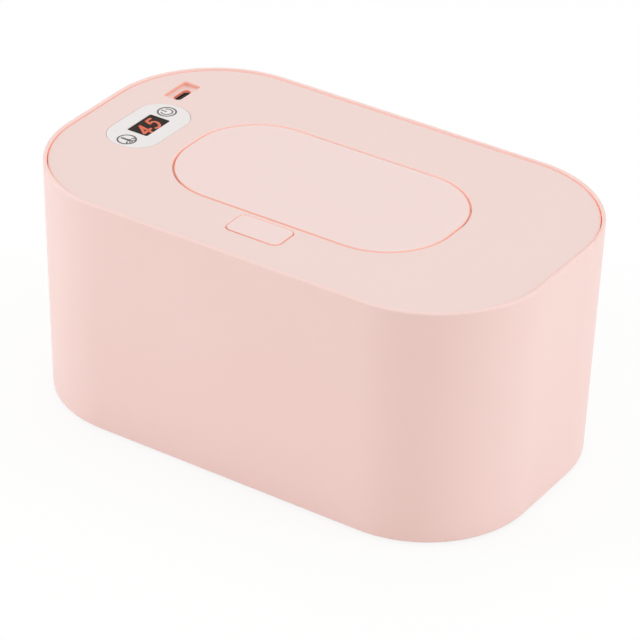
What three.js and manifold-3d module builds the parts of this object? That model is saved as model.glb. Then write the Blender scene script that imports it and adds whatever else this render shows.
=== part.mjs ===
// Baby wipe warmer: a drafted tub with a lift-off heated lid, a flip lid over the wipe opening,
// a release button with its latch, and a touch display. Millimetres, +Z up.
// Origin: middle of the footprint on the ground. +X runs along the long side, -Y is the front.

import * as THREE from 'three';
import { mergeVertices } from 'three/addons/utils/BufferGeometryUtils.js';
import Module from 'manifold-3d';

const wasm = await Module();
wasm.setup();

// Running clearances and cutting overrun
const fitGap = 0.3;
const seamGap = 0.4;
const overrun = 1;

// Outer tub
const tubLength = 210;
const tubWidth = 125.7;
const tubHeight = 98.6;
const tubEndFlat = 32.3;
const tubDraft = 2.2;
const tubWall = 2.2;
const tubFloor = 2.6;
const rimWall = 1.5;
const rimRound = 0.9;
const baseRound = 1.2;
const ledgeWidth = 2.5;
const ledgeHeight = 2.5;

// Feet, and the screws that they hide
const footRadius = 7.2;
const footRound = 0.6;
const footProud = 1;
const footRecess = 1.4;
const footFromEndX = 31;
const footFromSideY = 27;
const tubBossRadius = 5.5;
const tubBossHeight = 4;
const screwShank = 1.5;
const screwHead = 3;
const screwHeadHeight = 2;
const screwLength = 12;
const headRecess = 2.4;

// Inner bin
const binWall = 1.8;
const binFloor = 2;
const binFlange = 2;
const binMouthInset = 8.3;
const binDraft = 2.4;
const binFloorRound = 6;
const binLift = 10;
const binBossRadius = 3.6;

// Foam wrap between the bin and the tub
const foamThick = 2.6;
const foamTopDrop = 4;

// Lid cover
const lidSink = 0.6;
const coverSkin = 2.2;
const coverRound = 0.5;
const skirtDepth = 4.6;
const skirtWall = 1.8;
const wellWall = 1.6;
const wellFloor = 1.6;
const wellCornerRound = 1.5;
const ribThick = 1.4;
const ribDepth = 5;

// Flip lid, set in from the four sides of the tub, with a short flat at each end
const flapFromLeft = 47.85;
const flapFromRight = 46.85;
const flapFromFront = 30.8;
const flapFromRear = 32.8;
const flapEndFlat = 7.7;
const flapThick = 2.6;
const flapRound = 0.8;
const grooveGap = 0.8;
const flapTaper = 1;
const flapLedge = 3;
const flapRibHeight = 1.2;
const flapRibWidth = 1.6;

// Swan-neck hinge: two arms hook under the cover's rear edge to a pin behind it
const hingeBehind = 5;
const hingeDrop = 4.1;
const pinRadius = 0.75;
const barrelRadius = 1.6;
const armWidth = 8;
const armFromMiddle = 12;
const armInner = 6.2;
const armThick = 1.8;
const armGap = 0.4;
const stemHalf = 0.8;
const pocketHalfX = 26;
const pocketRear = 4.5;
const boreGap = 0.1;
const springWire = 0.5;
const springRadius = 1.35;
const springPitch = 0.95;
const springLegDown = 5;
const springLegAcross = 3;
const springTurnsShare = 4.75;

// Wipe opening: collar of the well, soft orifice and its seal
const orificeForward = 2.5;
const collarHalfX = 34;
const collarHalfY = 12.5;
const collarCorner = 11.5;
const collarWall = 1.6;
const collarDrop = 4;
const orificeFlange = 1.2;
const orificeWall = 1.4;
const orificeDepth = 8.4;
const slotHalfX = 22;
const slotHalfY = 5.4;
const flapSeal = 0.7;
const flapSealWidth = 2.6;

// Release button
const buttonToFlap = 2.55;
const buttonLength = 23.5;
const buttonWidth = 12.8;
const buttonCorner = 3;
const buttonGap = 0.4;
const buttonSkin = 1.8;
const buttonWall = 1.4;
const buttonLip = 0.8;
const buttonRound = 0.5;
const guideWall = 1.3;
const guideDepth = 1.6;
const latchStroke = 1.6;

// Latch slider, its keeper plate and spring, and the catch on the flip lid
const sliderThick = 1.4;
const sliderDrop = 7.4;
const sliderWidth = 18;
const sliderBar = 2.2;
const tongueWidth = 7;
const tongueGap = 0.4;
const catchWidth = 6;
const catchThick = 1.6;
const catchFromEdge = 1.55;
const noseReach = 1.5;
const noseHeight = 1.6;
const legWidth = 3;
const legFromMiddle = 4;
const legBack = 3;
const legTip = 2.4;
const legDrop = 1.5;
const keeperThick = 1.4;
const keeperHalfX = 17.5;
const keeperWall = 1.2;
const latchSpringRadius = 1.3;
const latchSpringWire = 0.4;
const latchSpringLength = 3.7;
const latchSpringTurnsShare = 4;

// Lid tray below the cover
const trayInset = 9;
const trayWall = 1.8;
const trayFlange = 1.6;
const trayFloor = 1.8;
const trayDepth = 12.5;
const trayDraft = 0.5;
const trayLip = 2.4;
const chimneyRoom = 5;
const chimneyWall = 1.8;
const sealThick = 1.4;
const sealWidth = 4;
const trayBossRadius = 4.6;
const coverBossRadius = 3.2;

// Heater on the underside of the tray
const filmThick = 0.5;
const filmMargin = 5;
const plateThick = 0.8;
const thermostatRadius = 5;
const thermostatHeight = 4.5;
const leadRadius = 0.7;
const leadSpacing = 3;
const leadFromBoard = 6;
const leadHoleRadius = 4.5;

// Display panel on the left of the lid
const panelFromEnd = 26.2;
const panelFromRear = 62.85;
const panelLength = 38;
const panelWidth = 22.4;
const panelCorner = 10.5;
const panelThick = 1.3;
const panelProud = 0.15;
const panelPad = 1.2;
const windowLength = 15;
const windowWidth = 9.1;
const windowCorner = 0.6;
const windowThick = 1;
const digitMargin = 0.4;
const digitHeight = 6.4;
const iconFromMiddle = 13.6;
const touchRadius = 2.6;
const touchWire = 0.5;
const touchTurnsShare = 3;

// Power socket in its pocket at the rear left
const pocketFromEnd = 19.8;
const pocketToPanel = 4.85;
const pocketLength = 14.3;
const pocketWidth = 7.6;
const pocketCorner = 1;
const pocketDepth = 2;
const pocketFloor = 1.4;
const socketLength = 8.94;
const socketWidth = 3.2;
const socketWall = 0.3;
const socketDepth = 5.6;
const socketGap = 0.35;
const socketRoom = 1.5;
const tongueLength = 6.6;
const tongueThick = 0.7;
const tongueHeight = 4.4;

// Control board
const boardThick = 1.6;
const boardDrop = 9;
const boardPastIcon = 5.4;
const boardPastPocket = 7;
const boardFromEnd = 17;
const boardToWell = 3.95;
const boardCorner = 2;
const boardScrewY = 12;
const boardToTrayScrew = 8;
const smallShank = 1;
const smallHead = 1.9;
const smallHeadHeight = 1.2;
const smallBoss = 2.5;

// Places and sizes that follow from the values above
const tubCorner = (tubWidth - tubEndFlat) / 2;
const leftEnd = -tubLength / 2;
const flapX = (flapFromLeft - flapFromRight) / 2;
const flapY = (flapFromFront - flapFromRear) / 2;
const flapLength = tubLength - flapFromLeft - flapFromRight;
const flapWidth = tubWidth - flapFromFront - flapFromRear;
const flapCorner = (flapWidth - flapEndFlat) / 2;
const orificeY = flapY - orificeForward;
const chimneyHalfX = collarHalfX + chimneyRoom;
const chimneyHalfY = collarHalfY + chimneyRoom;
const chimneyCorner = collarCorner + chimneyRoom;
const buttonY = flapY - flapWidth / 2 - buttonToFlap - buttonWidth / 2;
const panelX = leftEnd + panelFromEnd;
const panelY = tubWidth / 2 - panelFromRear;
const pocketX = leftEnd + pocketFromEnd;
const pocketY = panelY + panelLength / 2 + pocketToPanel + pocketLength / 2;
const boardLeftX = leftEnd + boardFromEnd;
const boardRightX = flapX - flapLength / 2 - grooveGap - wellWall - boardToWell;
const boardFrontY = panelY - iconFromMiddle - boardPastIcon;
const boardRearY = pocketY + boardPastPocket;

// Heights that the pieces share
const rimZ = footProud + tubHeight;
const lidTop = rimZ - lidSink;
const skinZ = lidTop - coverSkin;
const trayTop = lidTop - skirtDepth - fitGap;
const flangeTop = trayTop - trayFlange - sealThick - 2 * fitGap;
const ledgeZ = flangeTop - binFlange - fitGap;
const floorTop = footProud + tubFloor;
const trayFloorZ = trayTop - trayDepth;
const hingeY = flapY + flapWidth / 2 + hingeBehind;
const hingeZ = lidTop - hingeDrop;
const wellZ = hingeZ - armInner - armThick - armGap;
const collarTop = lidTop - flapThick - collarDrop;
const baseHeadZ = footProud + footRecess + headRecess - screwHeadHeight - fitGap;
const boardTop = lidTop - boardDrop;
const sliderTop = lidTop - sliderDrop;

const cornerSteps = 8;
const smallSteps = 3;
const roundSteps = 2;
const postSides = 10;
const footSides = 16;
const screwSides = 8;
const leadSteps = 8;
const wireSides = 5;
const coilSteps = 8;

// A rounded rectangle as a closed ring of points, counter-clockwise
function ring(halfX, halfY, radius, centreX, centreY, z, steps) {
  const points = [];
  for (let corner = 0; corner < 4; corner += 1) {
    const signX = corner === 0 || corner === 3 ? 1 : -1;
    const signY = corner < 2 ? 1 : -1;
    for (let step = 0; step <= steps; step += 1) {
      const angle = ((corner + step / steps) * Math.PI) / 2;
      const x = centreX + signX * (halfX - radius) + radius * Math.cos(angle);
      const y = centreY + signY * (halfY - radius) + radius * Math.sin(angle);
      points.push([x, y, z]);
    }
  }
  return points;
}

// A closed skin through rings of equal point count, from the lowest ring to the highest
function skinned(rings) {
  const count = rings[0].length;
  const positions = [];
  const index = [];
  for (const points of rings) {
    for (const point of points) positions.push(...point);
  }
  for (let level = 0; level + 1 < rings.length; level += 1) {
    for (let i = 0; i < count; i += 1) {
      const a = level * count + i;
      const b = level * count + ((i + 1) % count);
      index.push(a, b, b + count, a, b + count, a + count);
    }
  }
  const last = (rings.length - 1) * count;
  for (let i = 1; i + 1 < count; i += 1) {
    index.push(0, i + 1, i);
    index.push(last, last + i, last + i + 1);
  }
  const geometry = new THREE.BufferGeometry();
  geometry.setAttribute('position', new THREE.Float32BufferAttribute(positions, 3));
  geometry.setIndex(index);
  return geometry;
}

function solidOf(geometry) {
  const plain = geometry.clone();
  plain.deleteAttribute('normal');
  plain.deleteAttribute('uv');
  const merged = mergeVertices(plain);
  const vertProperties = new Float32Array(merged.attributes.position.array);
  const triVerts = new Uint32Array(merged.index.array);
  return new wasm.Manifold(new wasm.Mesh({ numProp: 3, vertProperties, triVerts }));
}

function geometryOf(solid) {
  const mesh = solid.getMesh();
  const geometry = new THREE.BufferGeometry();
  geometry.setAttribute('position', new THREE.BufferAttribute(mesh.vertProperties, 3));
  geometry.setIndex(new THREE.BufferAttribute(mesh.triVerts, 1));
  return geometry;
}

// Levels are [inset, z] pairs, lowest first, set in from one rounded rectangle
function lofted(base, levels) {
  const steps = base.steps ?? cornerSteps;
  const x = base.x ?? 0;
  const y = base.y ?? 0;
  const rings = levels.map(([inset, z]) =>
    ring(base.halfX - inset, base.halfY - inset, base.corner - inset, x, y, z, steps));
  return solidOf(skinned(rings));
}

function block(lowX, highX, lowY, highY, lowZ, highZ) {
  const geometry = new THREE.BoxGeometry(highX - lowX, highY - lowY, highZ - lowZ);
  geometry.translate((lowX + highX) / 2, (lowY + highY) / 2, (lowZ + highZ) / 2);
  return solidOf(geometry);
}

function post(radius, x, y, lowZ, highZ, sides = postSides) {
  const geometry = new THREE.CylinderGeometry(radius, radius, highZ - lowZ, sides);
  geometry.rotateX(Math.PI / 2);
  geometry.translate(x, y, (lowZ + highZ) / 2);
  return solidOf(geometry);
}

function rodAlongX(radius, lowX, highX, y, z, sides = postSides) {
  const geometry = new THREE.CylinderGeometry(radius, radius, highX - lowX, sides);
  geometry.rotateZ(Math.PI / 2);
  geometry.translate((lowX + highX) / 2, y, z);
  return solidOf(geometry);
}

// A closed outline of [y, z] points, counter-clockwise seen from +X, drawn out along X
function drawnAlongX(points, lowX, highX) {
  const shape = new THREE.Shape(points.map(([y, z]) => new THREE.Vector2(y, z)));
  const options = { depth: highX - lowX, bevelEnabled: false };
  const geometry = new THREE.ExtrudeGeometry(shape, options);
  const turn = new THREE.Matrix4().makeBasis(
    new THREE.Vector3(0, 1, 0),
    new THREE.Vector3(0, 0, 1),
    new THREE.Vector3(1, 0, 0),
  );
  geometry.applyMatrix4(turn);
  geometry.translate(lowX, 0, 0);
  return solidOf(geometry);
}

// Round wire along a list of points, with flat ends
function wire(points, radius) {
  const frames = [];
  const start = points[1].clone().sub(points[0]);
  const upright = Math.abs(start.z) > Math.abs(start.x) + Math.abs(start.y);
  let up = upright ? alongX : alongZ;
  points.forEach((point, i) => {
    const before = points[Math.max(i - 1, 0)];
    const after = points[Math.min(i + 1, points.length - 1)];
    const along = after.clone().sub(before).normalize();
    const side = up.clone().cross(along).normalize();
    up = along.clone().cross(side).normalize();
    frames.push({ point, side, up });
  });
  const rings = frames.map(({ point, side, up: lift }) => {
    const around = [];
    for (let i = 0; i < wireSides; i += 1) {
      const angle = (2 * Math.PI * i) / wireSides;
      const place = point.clone();
      place.addScaledVector(side, radius * Math.cos(angle));
      place.addScaledVector(lift, radius * Math.sin(angle));
      around.push(place.toArray());
    }
    return around;
  });
  return solidOf(skinned(rings));
}

// Points of a helix about an axis: origin, axis direction, first direction, and the second
function helix(origin, axis, first, second, radius, pitch, fromTurn, toTurn) {
  const points = [];
  const steps = Math.round((toTurn - fromTurn) * coilSteps);
  for (let i = 0; i <= steps; i += 1) {
    const turn = fromTurn + ((toTurn - fromTurn) * i) / steps;
    const point = origin.clone();
    point.addScaledVector(axis, pitch * (turn - fromTurn));
    point.addScaledVector(first, radius * Math.cos(2 * Math.PI * turn));
    point.addScaledVector(second, radius * Math.sin(2 * Math.PI * turn));
    points.push(point);
  }
  return points;
}

const alongX = new THREE.Vector3(1, 0, 0);
const alongY = new THREE.Vector3(0, 1, 0);
const alongZ = new THREE.Vector3(0, 0, 1);

function joined(solids) {
  return solids.reduce((whole, solid) => whole.add(solid));
}

function without(solid, cutters) {
  return cutters.reduce((left, cutter) => left.subtract(cutter), solid);
}

// Base outlines
const tubOutline = { halfX: tubLength / 2, halfY: tubWidth / 2, corner: tubCorner };

const flapOutline = {
  halfX: flapLength / 2,
  halfY: flapWidth / 2,
  corner: flapCorner,
  x: flapX,
  y: flapY,
};

const collarOutline = {
  halfX: collarHalfX,
  halfY: collarHalfY,
  corner: collarCorner,
  x: flapX,
  y: orificeY,
  steps: smallSteps * 2,
};

const chimneyOutline = {
  halfX: chimneyHalfX,
  halfY: chimneyHalfY,
  corner: chimneyCorner,
  x: flapX,
  y: orificeY,
  steps: smallSteps * 2,
};

const buttonOutline = {
  halfX: buttonLength / 2,
  halfY: buttonWidth / 2,
  corner: buttonCorner,
  x: flapX,
  y: buttonY,
  steps: smallSteps,
};

const panelOutline = {
  halfX: panelWidth / 2,
  halfY: panelLength / 2,
  corner: panelCorner,
  x: panelX,
  y: panelY,
  steps: smallSteps * 2,
};

const windowOutline = {
  halfX: windowWidth / 2,
  halfY: windowLength / 2,
  corner: windowCorner,
  x: panelX,
  y: panelY,
  steps: smallSteps,
};

const pocketOutline = {
  halfX: pocketWidth / 2,
  halfY: pocketLength / 2,
  corner: pocketCorner,
  x: pocketX,
  y: pocketY,
  steps: smallSteps,
};

const socketOutline = {
  halfX: socketWidth / 2,
  halfY: socketLength / 2,
  corner: socketWidth / 2,
  x: pocketX,
  y: pocketY,
  steps: smallSteps,
};

// How far the drafted tub wall stands in at height z
function draftAt(z) {
  return (tubDraft * (rimZ - z)) / tubHeight;
}

// Inset and height pairs round a quarter circle on the outer edge, lowest first
function roundedLow(z, radius, inset) {
  const levels = [];
  for (let i = 0; i <= roundSteps; i += 1) {
    const angle = (Math.PI / 2) * (i / roundSteps);
    levels.push([inset + radius * (1 - Math.sin(angle)), z + radius * (1 - Math.cos(angle))]);
  }
  return levels;
}

function roundedHigh(z, radius, inset) {
  return roundedLow(0, radius, inset)
    .map(([in1, rise]) => [in1, z - rise])
    .reverse();
}

// Four places mirrored about both axes
function fourPlaces(x, y) {
  return [[-x, -y], [x, -y], [-x, y], [x, y]];
}

const footPlaces = fourPlaces(tubLength / 2 - footFromEndX, tubWidth / 2 - footFromSideY);

function outerTub() {
  const outside = lofted(tubOutline, [
    ...roundedLow(footProud, baseRound, tubDraft),
    ...roundedHigh(rimZ, rimRound, 0),
  ]);
  const pocket = lofted(tubOutline, [[rimWall, ledgeZ], [rimWall, rimZ + overrun]]);
  const ledgeInset = rimWall + ledgeWidth;
  const ledgeFoot = ledgeZ - ledgeHeight;
  const inside = lofted(tubOutline, [
    [tubWall + draftAt(floorTop), floorTop],
    [tubWall + draftAt(ledgeFoot), ledgeFoot - (ledgeInset - tubWall)],
    [ledgeInset, ledgeFoot],
    [ledgeInset, ledgeZ + fitGap],
  ]);
  const bosses = footPlaces.map(([x, y]) =>
    post(tubBossRadius, x, y, floorTop - fitGap, floorTop + tubBossHeight));
  const headZ = footProud + footRecess + headRecess;
  const holes = footPlaces.flatMap(([x, y]) => [
    post(footRadius + fitGap, x, y, 0, footProud + footRecess, footSides),
    post(screwHead + fitGap, x, y, 0, headZ),
    post(screwShank + fitGap, x, y, 0, floorTop + tubBossHeight + overrun),
  ]);
  return without(joined([without(outside, [pocket, inside]), ...bosses]), holes);
}

function innerBin() {
  const underside = floorTop + binLift;
  const mouth = binMouthInset;
  const outerInset = mouth - binWall;
  const shell = lofted(tubOutline, [
    ...roundedLow(underside, binFloorRound, outerInset + binDraft),
    [outerInset, flangeTop],
  ]);
  const flange = lofted(tubOutline, [
    [rimWall + seamGap, flangeTop - binFlange],
    [rimWall + seamGap, flangeTop],
  ]);
  const bosses = footPlaces.map(([x, y]) =>
    post(binBossRadius, x, y, floorTop + tubBossHeight + fitGap, underside + binFloor));
  const inside = lofted(tubOutline, [
    ...roundedLow(underside + binFloor, binFloorRound - binWall, mouth + binDraft),
    [mouth, flangeTop + overrun],
  ]);
  const pilots = footPlaces.map(([x, y]) =>
    post(screwShank, x, y, floorTop, baseHeadZ + screwLength + fitGap));
  return without(joined([shell, flange, ...bosses]), [inside, ...pilots]);
}

function foamWrap() {
  const low = floorTop + fitGap;
  const high = ledgeZ - ledgeHeight - foamTopDrop;
  const outer = tubWall + fitGap;
  const outside = lofted(tubOutline, [[outer + draftAt(low), low], [outer + draftAt(high), high]]);
  const inner = outer + foamThick;
  const inside = lofted(tubOutline, [
    [inner + draftAt(low), low - overrun],
    [inner + draftAt(high), high + overrun],
  ]);
  return without(outside, [inside]);
}

function foot(x, y) {
  const high = footProud + footRecess - fitGap;
  const profile = [
    new THREE.Vector2(0, 0),
    new THREE.Vector2(footRadius - footRound, 0),
    new THREE.Vector2(footRadius, footRound),
    new THREE.Vector2(footRadius, high),
    new THREE.Vector2(0, high),
  ];
  const geometry = new THREE.LatheGeometry(profile, footSides);
  geometry.rotateX(Math.PI / 2);
  geometry.translate(x, y, 0);
  return solidOf(geometry);
}

// A screw driven upwards: head below, shank above
function screw(x, y, headZ, head, headHeight, shank, length) {
  const top = headZ + headHeight;
  const body = post(shank, x, y, headZ, headZ + length, screwSides);
  return post(head, x, y, headZ, top, screwSides).add(body);
}

function baseScrew(x, y) {
  return screw(x, y, baseHeadZ, screwHead, screwHeadHeight, screwShank - boreGap, screwLength);
}

// Places of the six screws that hold the tray to the cover, round the well
const trayScrewY = tubWidth / 2 - trayInset - trayWall - 2 * trayBossRadius;
const trayScrewX = tubLength / 2 - trayInset - trayWall - 2 * trayBossRadius;
const trayScrewPlaces = [
  ...fourPlaces(tubLength / 4 - trayBossRadius, trayScrewY),
  [trayScrewX, 0],
  [boardLeftX + boardToTrayScrew, boardFrontY - boardToTrayScrew],
];

const boardScrewPlaces = [
  [boardLeftX + smallBoss + fitGap, panelY - boardScrewY],
  [boardRightX - smallBoss, boardFrontY + smallBoss + fitGap],
  [boardRightX - smallBoss, boardRearY - smallBoss],
];

const keeperScrewPlaces = [
  [flapX - keeperHalfX + smallBoss, buttonY],
  [flapX + keeperHalfX - smallBoss, buttonY],
];

const socketTop = lidTop - pocketDepth;
const keeperTop = sliderTop - sliderThick - fitGap;

// Left and right ends of the two hinge arms
function armSpans() {
  return [-1, 1].map((sign) => {
    const near = flapX + sign * armFromMiddle;
    const far = near + sign * armWidth;
    return [Math.min(near, far), Math.max(near, far)];
  });
}

// An arm hooks down from the flip lid, round the cover's edge, and up to its barrel on the pin
function hingeArm(lowX, highX, underside) {
  const outer = armInner + armThick;
  const points = [];
  for (let step = 0; step <= cornerSteps; step += 1) {
    const angle = Math.PI + (Math.PI / 2) * (step / cornerSteps);
    points.push([hingeY + outer * Math.cos(angle), hingeZ + outer * Math.sin(angle)]);
  }
  points.push([hingeY + stemHalf, hingeZ - outer]);
  points.push([hingeY + stemHalf, hingeZ]);
  points.push([hingeY - stemHalf, hingeZ]);
  for (let step = cornerSteps; step >= 0; step -= 1) {
    const angle = Math.PI + (Math.PI / 2) * (step / cornerSteps);
    const y = hingeY + armInner * Math.cos(angle);
    if (y < hingeY - stemHalf) points.push([y, hingeZ + armInner * Math.sin(angle)]);
  }
  points.push([hingeY - armInner, underside + fitGap]);
  points.push([hingeY - outer, underside + fitGap]);
  const hook = drawnAlongX(points, lowX, highX);
  return hook.add(rodAlongX(barrelRadius, lowX, highX, hingeY, hingeZ));
}

function coverShell() {
  const edge = rimWall + seamGap;
  const low = lidTop - skirtDepth;
  const outside = lofted(tubOutline, [[edge, low], ...roundedHigh(lidTop, coverRound, edge)]);
  const inside = lofted(tubOutline, [
    [edge + skirtWall, low - overrun],
    [edge + skirtWall, skinZ],
  ]);
  return without(outside, [inside]);
}

function coverAdditions() {
  const cup = lofted(flapOutline, [
    [wellCornerRound - grooveGap - wellWall, wellZ - wellFloor],
    [-grooveGap - wellWall, wellZ - wellFloor + wellCornerRound],
    [-grooveGap - wellWall, skinZ + fitGap],
  ]);
  const guide = lofted(buttonOutline, [
    [-buttonGap - guideWall, lidTop - coverSkin - guideDepth + fitGap],
    [-buttonGap - guideWall, skinZ + fitGap],
  ]);
  const hingeBox = block(
    flapX - pocketHalfX - wellWall,
    flapX + pocketHalfX + wellWall,
    hingeY - armInner - armThick,
    hingeY + pocketRear + wellWall,
    wellZ - wellFloor,
    skinZ + fitGap,
  );
  const panelPadSolid = lofted(panelOutline, [
    [-panelPad, skinZ - panelPad],
    [-panelPad, skinZ + fitGap],
  ]);
  const pocketPad = lofted(pocketOutline, [
    [-pocketFloor, socketTop - pocketFloor],
    [-pocketFloor, skinZ + fitGap],
  ]);
  const trayBosses = trayScrewPlaces.map(([x, y]) =>
    post(coverBossRadius, x, y, trayTop - trayFlange, skinZ + fitGap));
  const boardBosses = boardScrewPlaces.map(([x, y]) =>
    post(smallBoss, x, y, boardTop + fitGap, skinZ + fitGap));
  const keeperBosses = keeperScrewPlaces.map(([x, y]) =>
    post(smallBoss, x, y, keeperTop + fitGap, skinZ + fitGap));
  const bosses = [...trayBosses, ...boardBosses, ...keeperBosses];
  return [cup, hingeBox, guide, panelPadSolid, pocketPad, ...bosses];
}

// Stiffening ribs under the cover, from the well to near the right and left ends
function coverRibs() {
  const wellEnd = flapLength / 2 + grooveGap + wellWall;
  const outer = tubLength / 2 - trayInset - trayWall - trayDraft - fitGap;
  const low = skinZ - ribDepth;
  const rightRibs = [-1, 1].map((sign) => {
    const y = flapY + (sign * flapWidth) / 4;
    const from = flapX + wellEnd - wellWall;
    return block(from, outer, y - ribThick / 2, y + ribThick / 2, low, skinZ + fitGap);
  });
  return rightRibs;
}

function coverCuts() {
  const recess = lofted(flapOutline, [
    [-grooveGap, lidTop - flapThick - fitGap],
    [-grooveGap, lidTop + overrun],
  ]);
  const well = lofted(flapOutline, [
    [flapLedge - grooveGap + wellCornerRound, wellZ],
    [flapLedge - grooveGap, wellZ + wellCornerRound],
    [flapLedge - grooveGap, lidTop],
  ]);
  const hingePocket = block(
    flapX - pocketHalfX,
    flapX + pocketHalfX,
    hingeY - armInner - armThick - armGap,
    hingeY + pocketRear,
    wellZ,
    skinZ,
  );
  const buttonHole = lofted(buttonOutline, [
    [-buttonGap, skinZ - guideDepth - buttonLip - latchStroke - overrun],
    [-buttonGap, lidTop + overrun],
  ]);
  const panelRecess = lofted(panelOutline, [
    [-fitGap, lidTop + panelProud - panelThick - fitGap],
    [-fitGap, lidTop + overrun],
  ]);
  const digitHole = lofted(windowOutline, [
    [-digitMargin - fitGap, skinZ - panelPad - overrun],
    [-digitMargin - fitGap, lidTop],
  ]);
  const touchHole = touchRadius + touchWire + fitGap;
  const touchHoles = [-1, 1].map((sign) =>
    post(touchHole, panelX, panelY + sign * iconFromMiddle, skinZ - 2 * panelPad, lidTop));
  const pocket = lofted(pocketOutline, [[0, socketTop], [0, lidTop + overrun]]);
  const socketHole = lofted(socketOutline, [
    [-socketGap, socketTop - pocketFloor - overrun],
    [-socketGap, lidTop],
  ]);
  const middle = flapX;
  const catchNotch = block(
    middle - catchWidth / 2 - seamGap - fitGap,
    middle + catchWidth / 2 + seamGap + fitGap,
    flapY - flapWidth / 2 - grooveGap,
    flapY,
    wellZ,
    lidTop,
  );
  const tongueWindow = block(
    middle - tongueWidth / 2 - seamGap,
    middle + tongueWidth / 2 + seamGap,
    buttonY + buttonWidth / 2 - guideWall,
    flapY - flapWidth / 2 + flapLedge,
    sliderTop - sliderThick - fitGap,
    sliderTop + fitGap,
  );
  const trayPilots = trayScrewPlaces.map(([x, y]) =>
    post(screwShank, x, y, trayTop - trayFlange - overrun, skinZ));
  const boardPilots = boardScrewPlaces.map(([x, y]) =>
    post(smallShank, x, y, boardTop - overrun, skinZ));
  const keeperPilots = keeperScrewPlaces.map(([x, y]) =>
    post(smallShank, x, y, keeperTop - overrun, skinZ));
  return {
    first: [recess, well, hingePocket],
    last: [
      buttonHole,
      panelRecess,
      digitHole,
      ...touchHoles,
      pocket,
      socketHole,
      catchNotch,
      tongueWindow,
      ...trayPilots,
      ...boardPilots,
      ...keeperPilots,
    ],
  };
}

// A raised collar round the wipe opening in the floor of the well
function wellCollar() {
  return lofted(collarOutline, [
    [-collarWall, wellZ - fitGap],
    [-collarWall, collarTop],
  ]);
}

function lidCover() {
  const cuts = coverCuts();
  const bore = rodAlongX(
    pinRadius + boreGap,
    flapX - flapLength / 2,
    flapX + flapLength / 2,
    hingeY,
    hingeZ,
  );
  const opening = lofted(collarOutline, [
    [0, wellZ - wellFloor - overrun],
    [0, collarTop + overrun],
  ]);
  const body = joined([coverShell(), ...coverAdditions(), ...coverRibs()]);
  const hollow = without(body, cuts.first);
  const dressed = hollow.add(wellCollar());
  return without(dressed, [bore, opening, ...cuts.last]);
}

function lidTray() {
  const flangeEdge = rimWall + 2 * seamGap;
  const flange = lofted(tubOutline, [[flangeEdge, trayTop - trayFlange], [flangeEdge, trayTop]]);
  const body = lofted(tubOutline, [
    [trayInset + trayDraft, trayFloorZ - trayLip],
    [trayInset, trayTop - fitGap],
  ]);
  const floorHigh = trayFloorZ + trayFloor;
  const inside = lofted(tubOutline, [
    [trayInset + trayWall + trayDraft, floorHigh],
    [trayInset + trayWall, trayTop + overrun],
  ]);
  const under = lofted(tubOutline, [
    [trayInset + trayWall + trayDraft, trayFloorZ - trayLip - overrun],
    [trayInset + trayWall + trayDraft, trayFloorZ],
  ]);
  const chimneyTop = wellZ - wellFloor - fitGap;
  const chimney = lofted(chimneyOutline, [
    [-chimneyWall, trayFloorZ - trayLip],
    [-chimneyWall, chimneyTop],
  ]);
  const chimneyBore = lofted(chimneyOutline, [
    [0, trayFloorZ - trayLip - overrun],
    [0, chimneyTop + overrun],
  ]);
  const bosses = trayScrewPlaces.map(([x, y]) =>
    post(trayBossRadius, x, y, trayFloorZ, trayTop - trayFlange - fitGap));
  const headHoles = trayScrewPlaces.flatMap(([x, y]) => [
    post(screwHead + fitGap, x, y, trayFloorZ - overrun, trayFloorZ + headRecess),
    post(screwShank + boreGap, x, y, trayFloorZ, trayTop),
  ]);
  const shell = without(joined([flange, body]), [inside, under]);
  const leadHole = post(leadHoleRadius, leadX, leadY, trayFloorZ - overrun, floorHigh + overrun);
  const thermostatHole = post(
    thermostatRadius + fitGap,
    thermostatX,
    thermostatY,
    trayFloorZ - overrun,
    floorHigh + overrun,
  );
  const socketNook = lofted(socketOutline, [
    [-socketRoom, boardTop - boardThick - fitGap],
    [-socketRoom, trayTop + overrun],
  ]);
  const whole = joined([shell, chimney, ...bosses]);
  return without(whole, [chimneyBore, leadHole, thermostatHole, socketNook, ...headHoles]);
}

const leadX = boardRightX - leadSpacing * 3;
const leadY = boardFrontY - leadFromBoard;
const thermostatX = trayScrewX - thermostatRadius * 3;
const thermostatY = flapY + flapWidth / 4 - thermostatRadius - ribThick - fitGap;

function trayScrew(x, y) {
  const headZ = trayFloorZ + headRecess - screwHeadHeight - fitGap;
  const length = screwLength + screwHeadHeight;
  return screw(x, y, headZ, screwHead, screwHeadHeight, screwShank - boreGap, length);
}

function lidSeal() {
  const high = trayTop - trayFlange - fitGap;
  const low = high - sealThick;
  const outer = binMouthInset - sealWidth;
  const outside = lofted(tubOutline, [
    [outer + sealThick / 2, low],
    [outer, (low + high) / 2],
    [outer, high],
  ]);
  const inside = lofted(tubOutline, [
    [trayInset - fitGap, low - overrun],
    [trayInset - fitGap, high + overrun],
  ]);
  return without(outside, [inside]);
}

// A flat sheet inside the lip of the tray, round the chimney
function heaterSheet(margin, low, high) {
  const inset = trayInset + trayWall + trayDraft + fitGap + margin;
  const outside = lofted(tubOutline, [[inset, low], [inset, high]]);
  const around = chimneyWall + fitGap + margin;
  const hole = lofted(chimneyOutline, [[-around, low - overrun], [-around, high + overrun]]);
  return without(outside, [hole]);
}

const filmHigh = trayFloorZ - fitGap;
const filmLow = filmHigh - filmThick;
const plateHigh = filmLow - fitGap;
const plateLow = plateHigh - plateThick;

function heaterFilm() {
  return heaterSheet(filmMargin, filmLow, filmHigh);
}

function heatingPlate() {
  return heaterSheet(0, plateLow, plateHigh);
}

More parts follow.
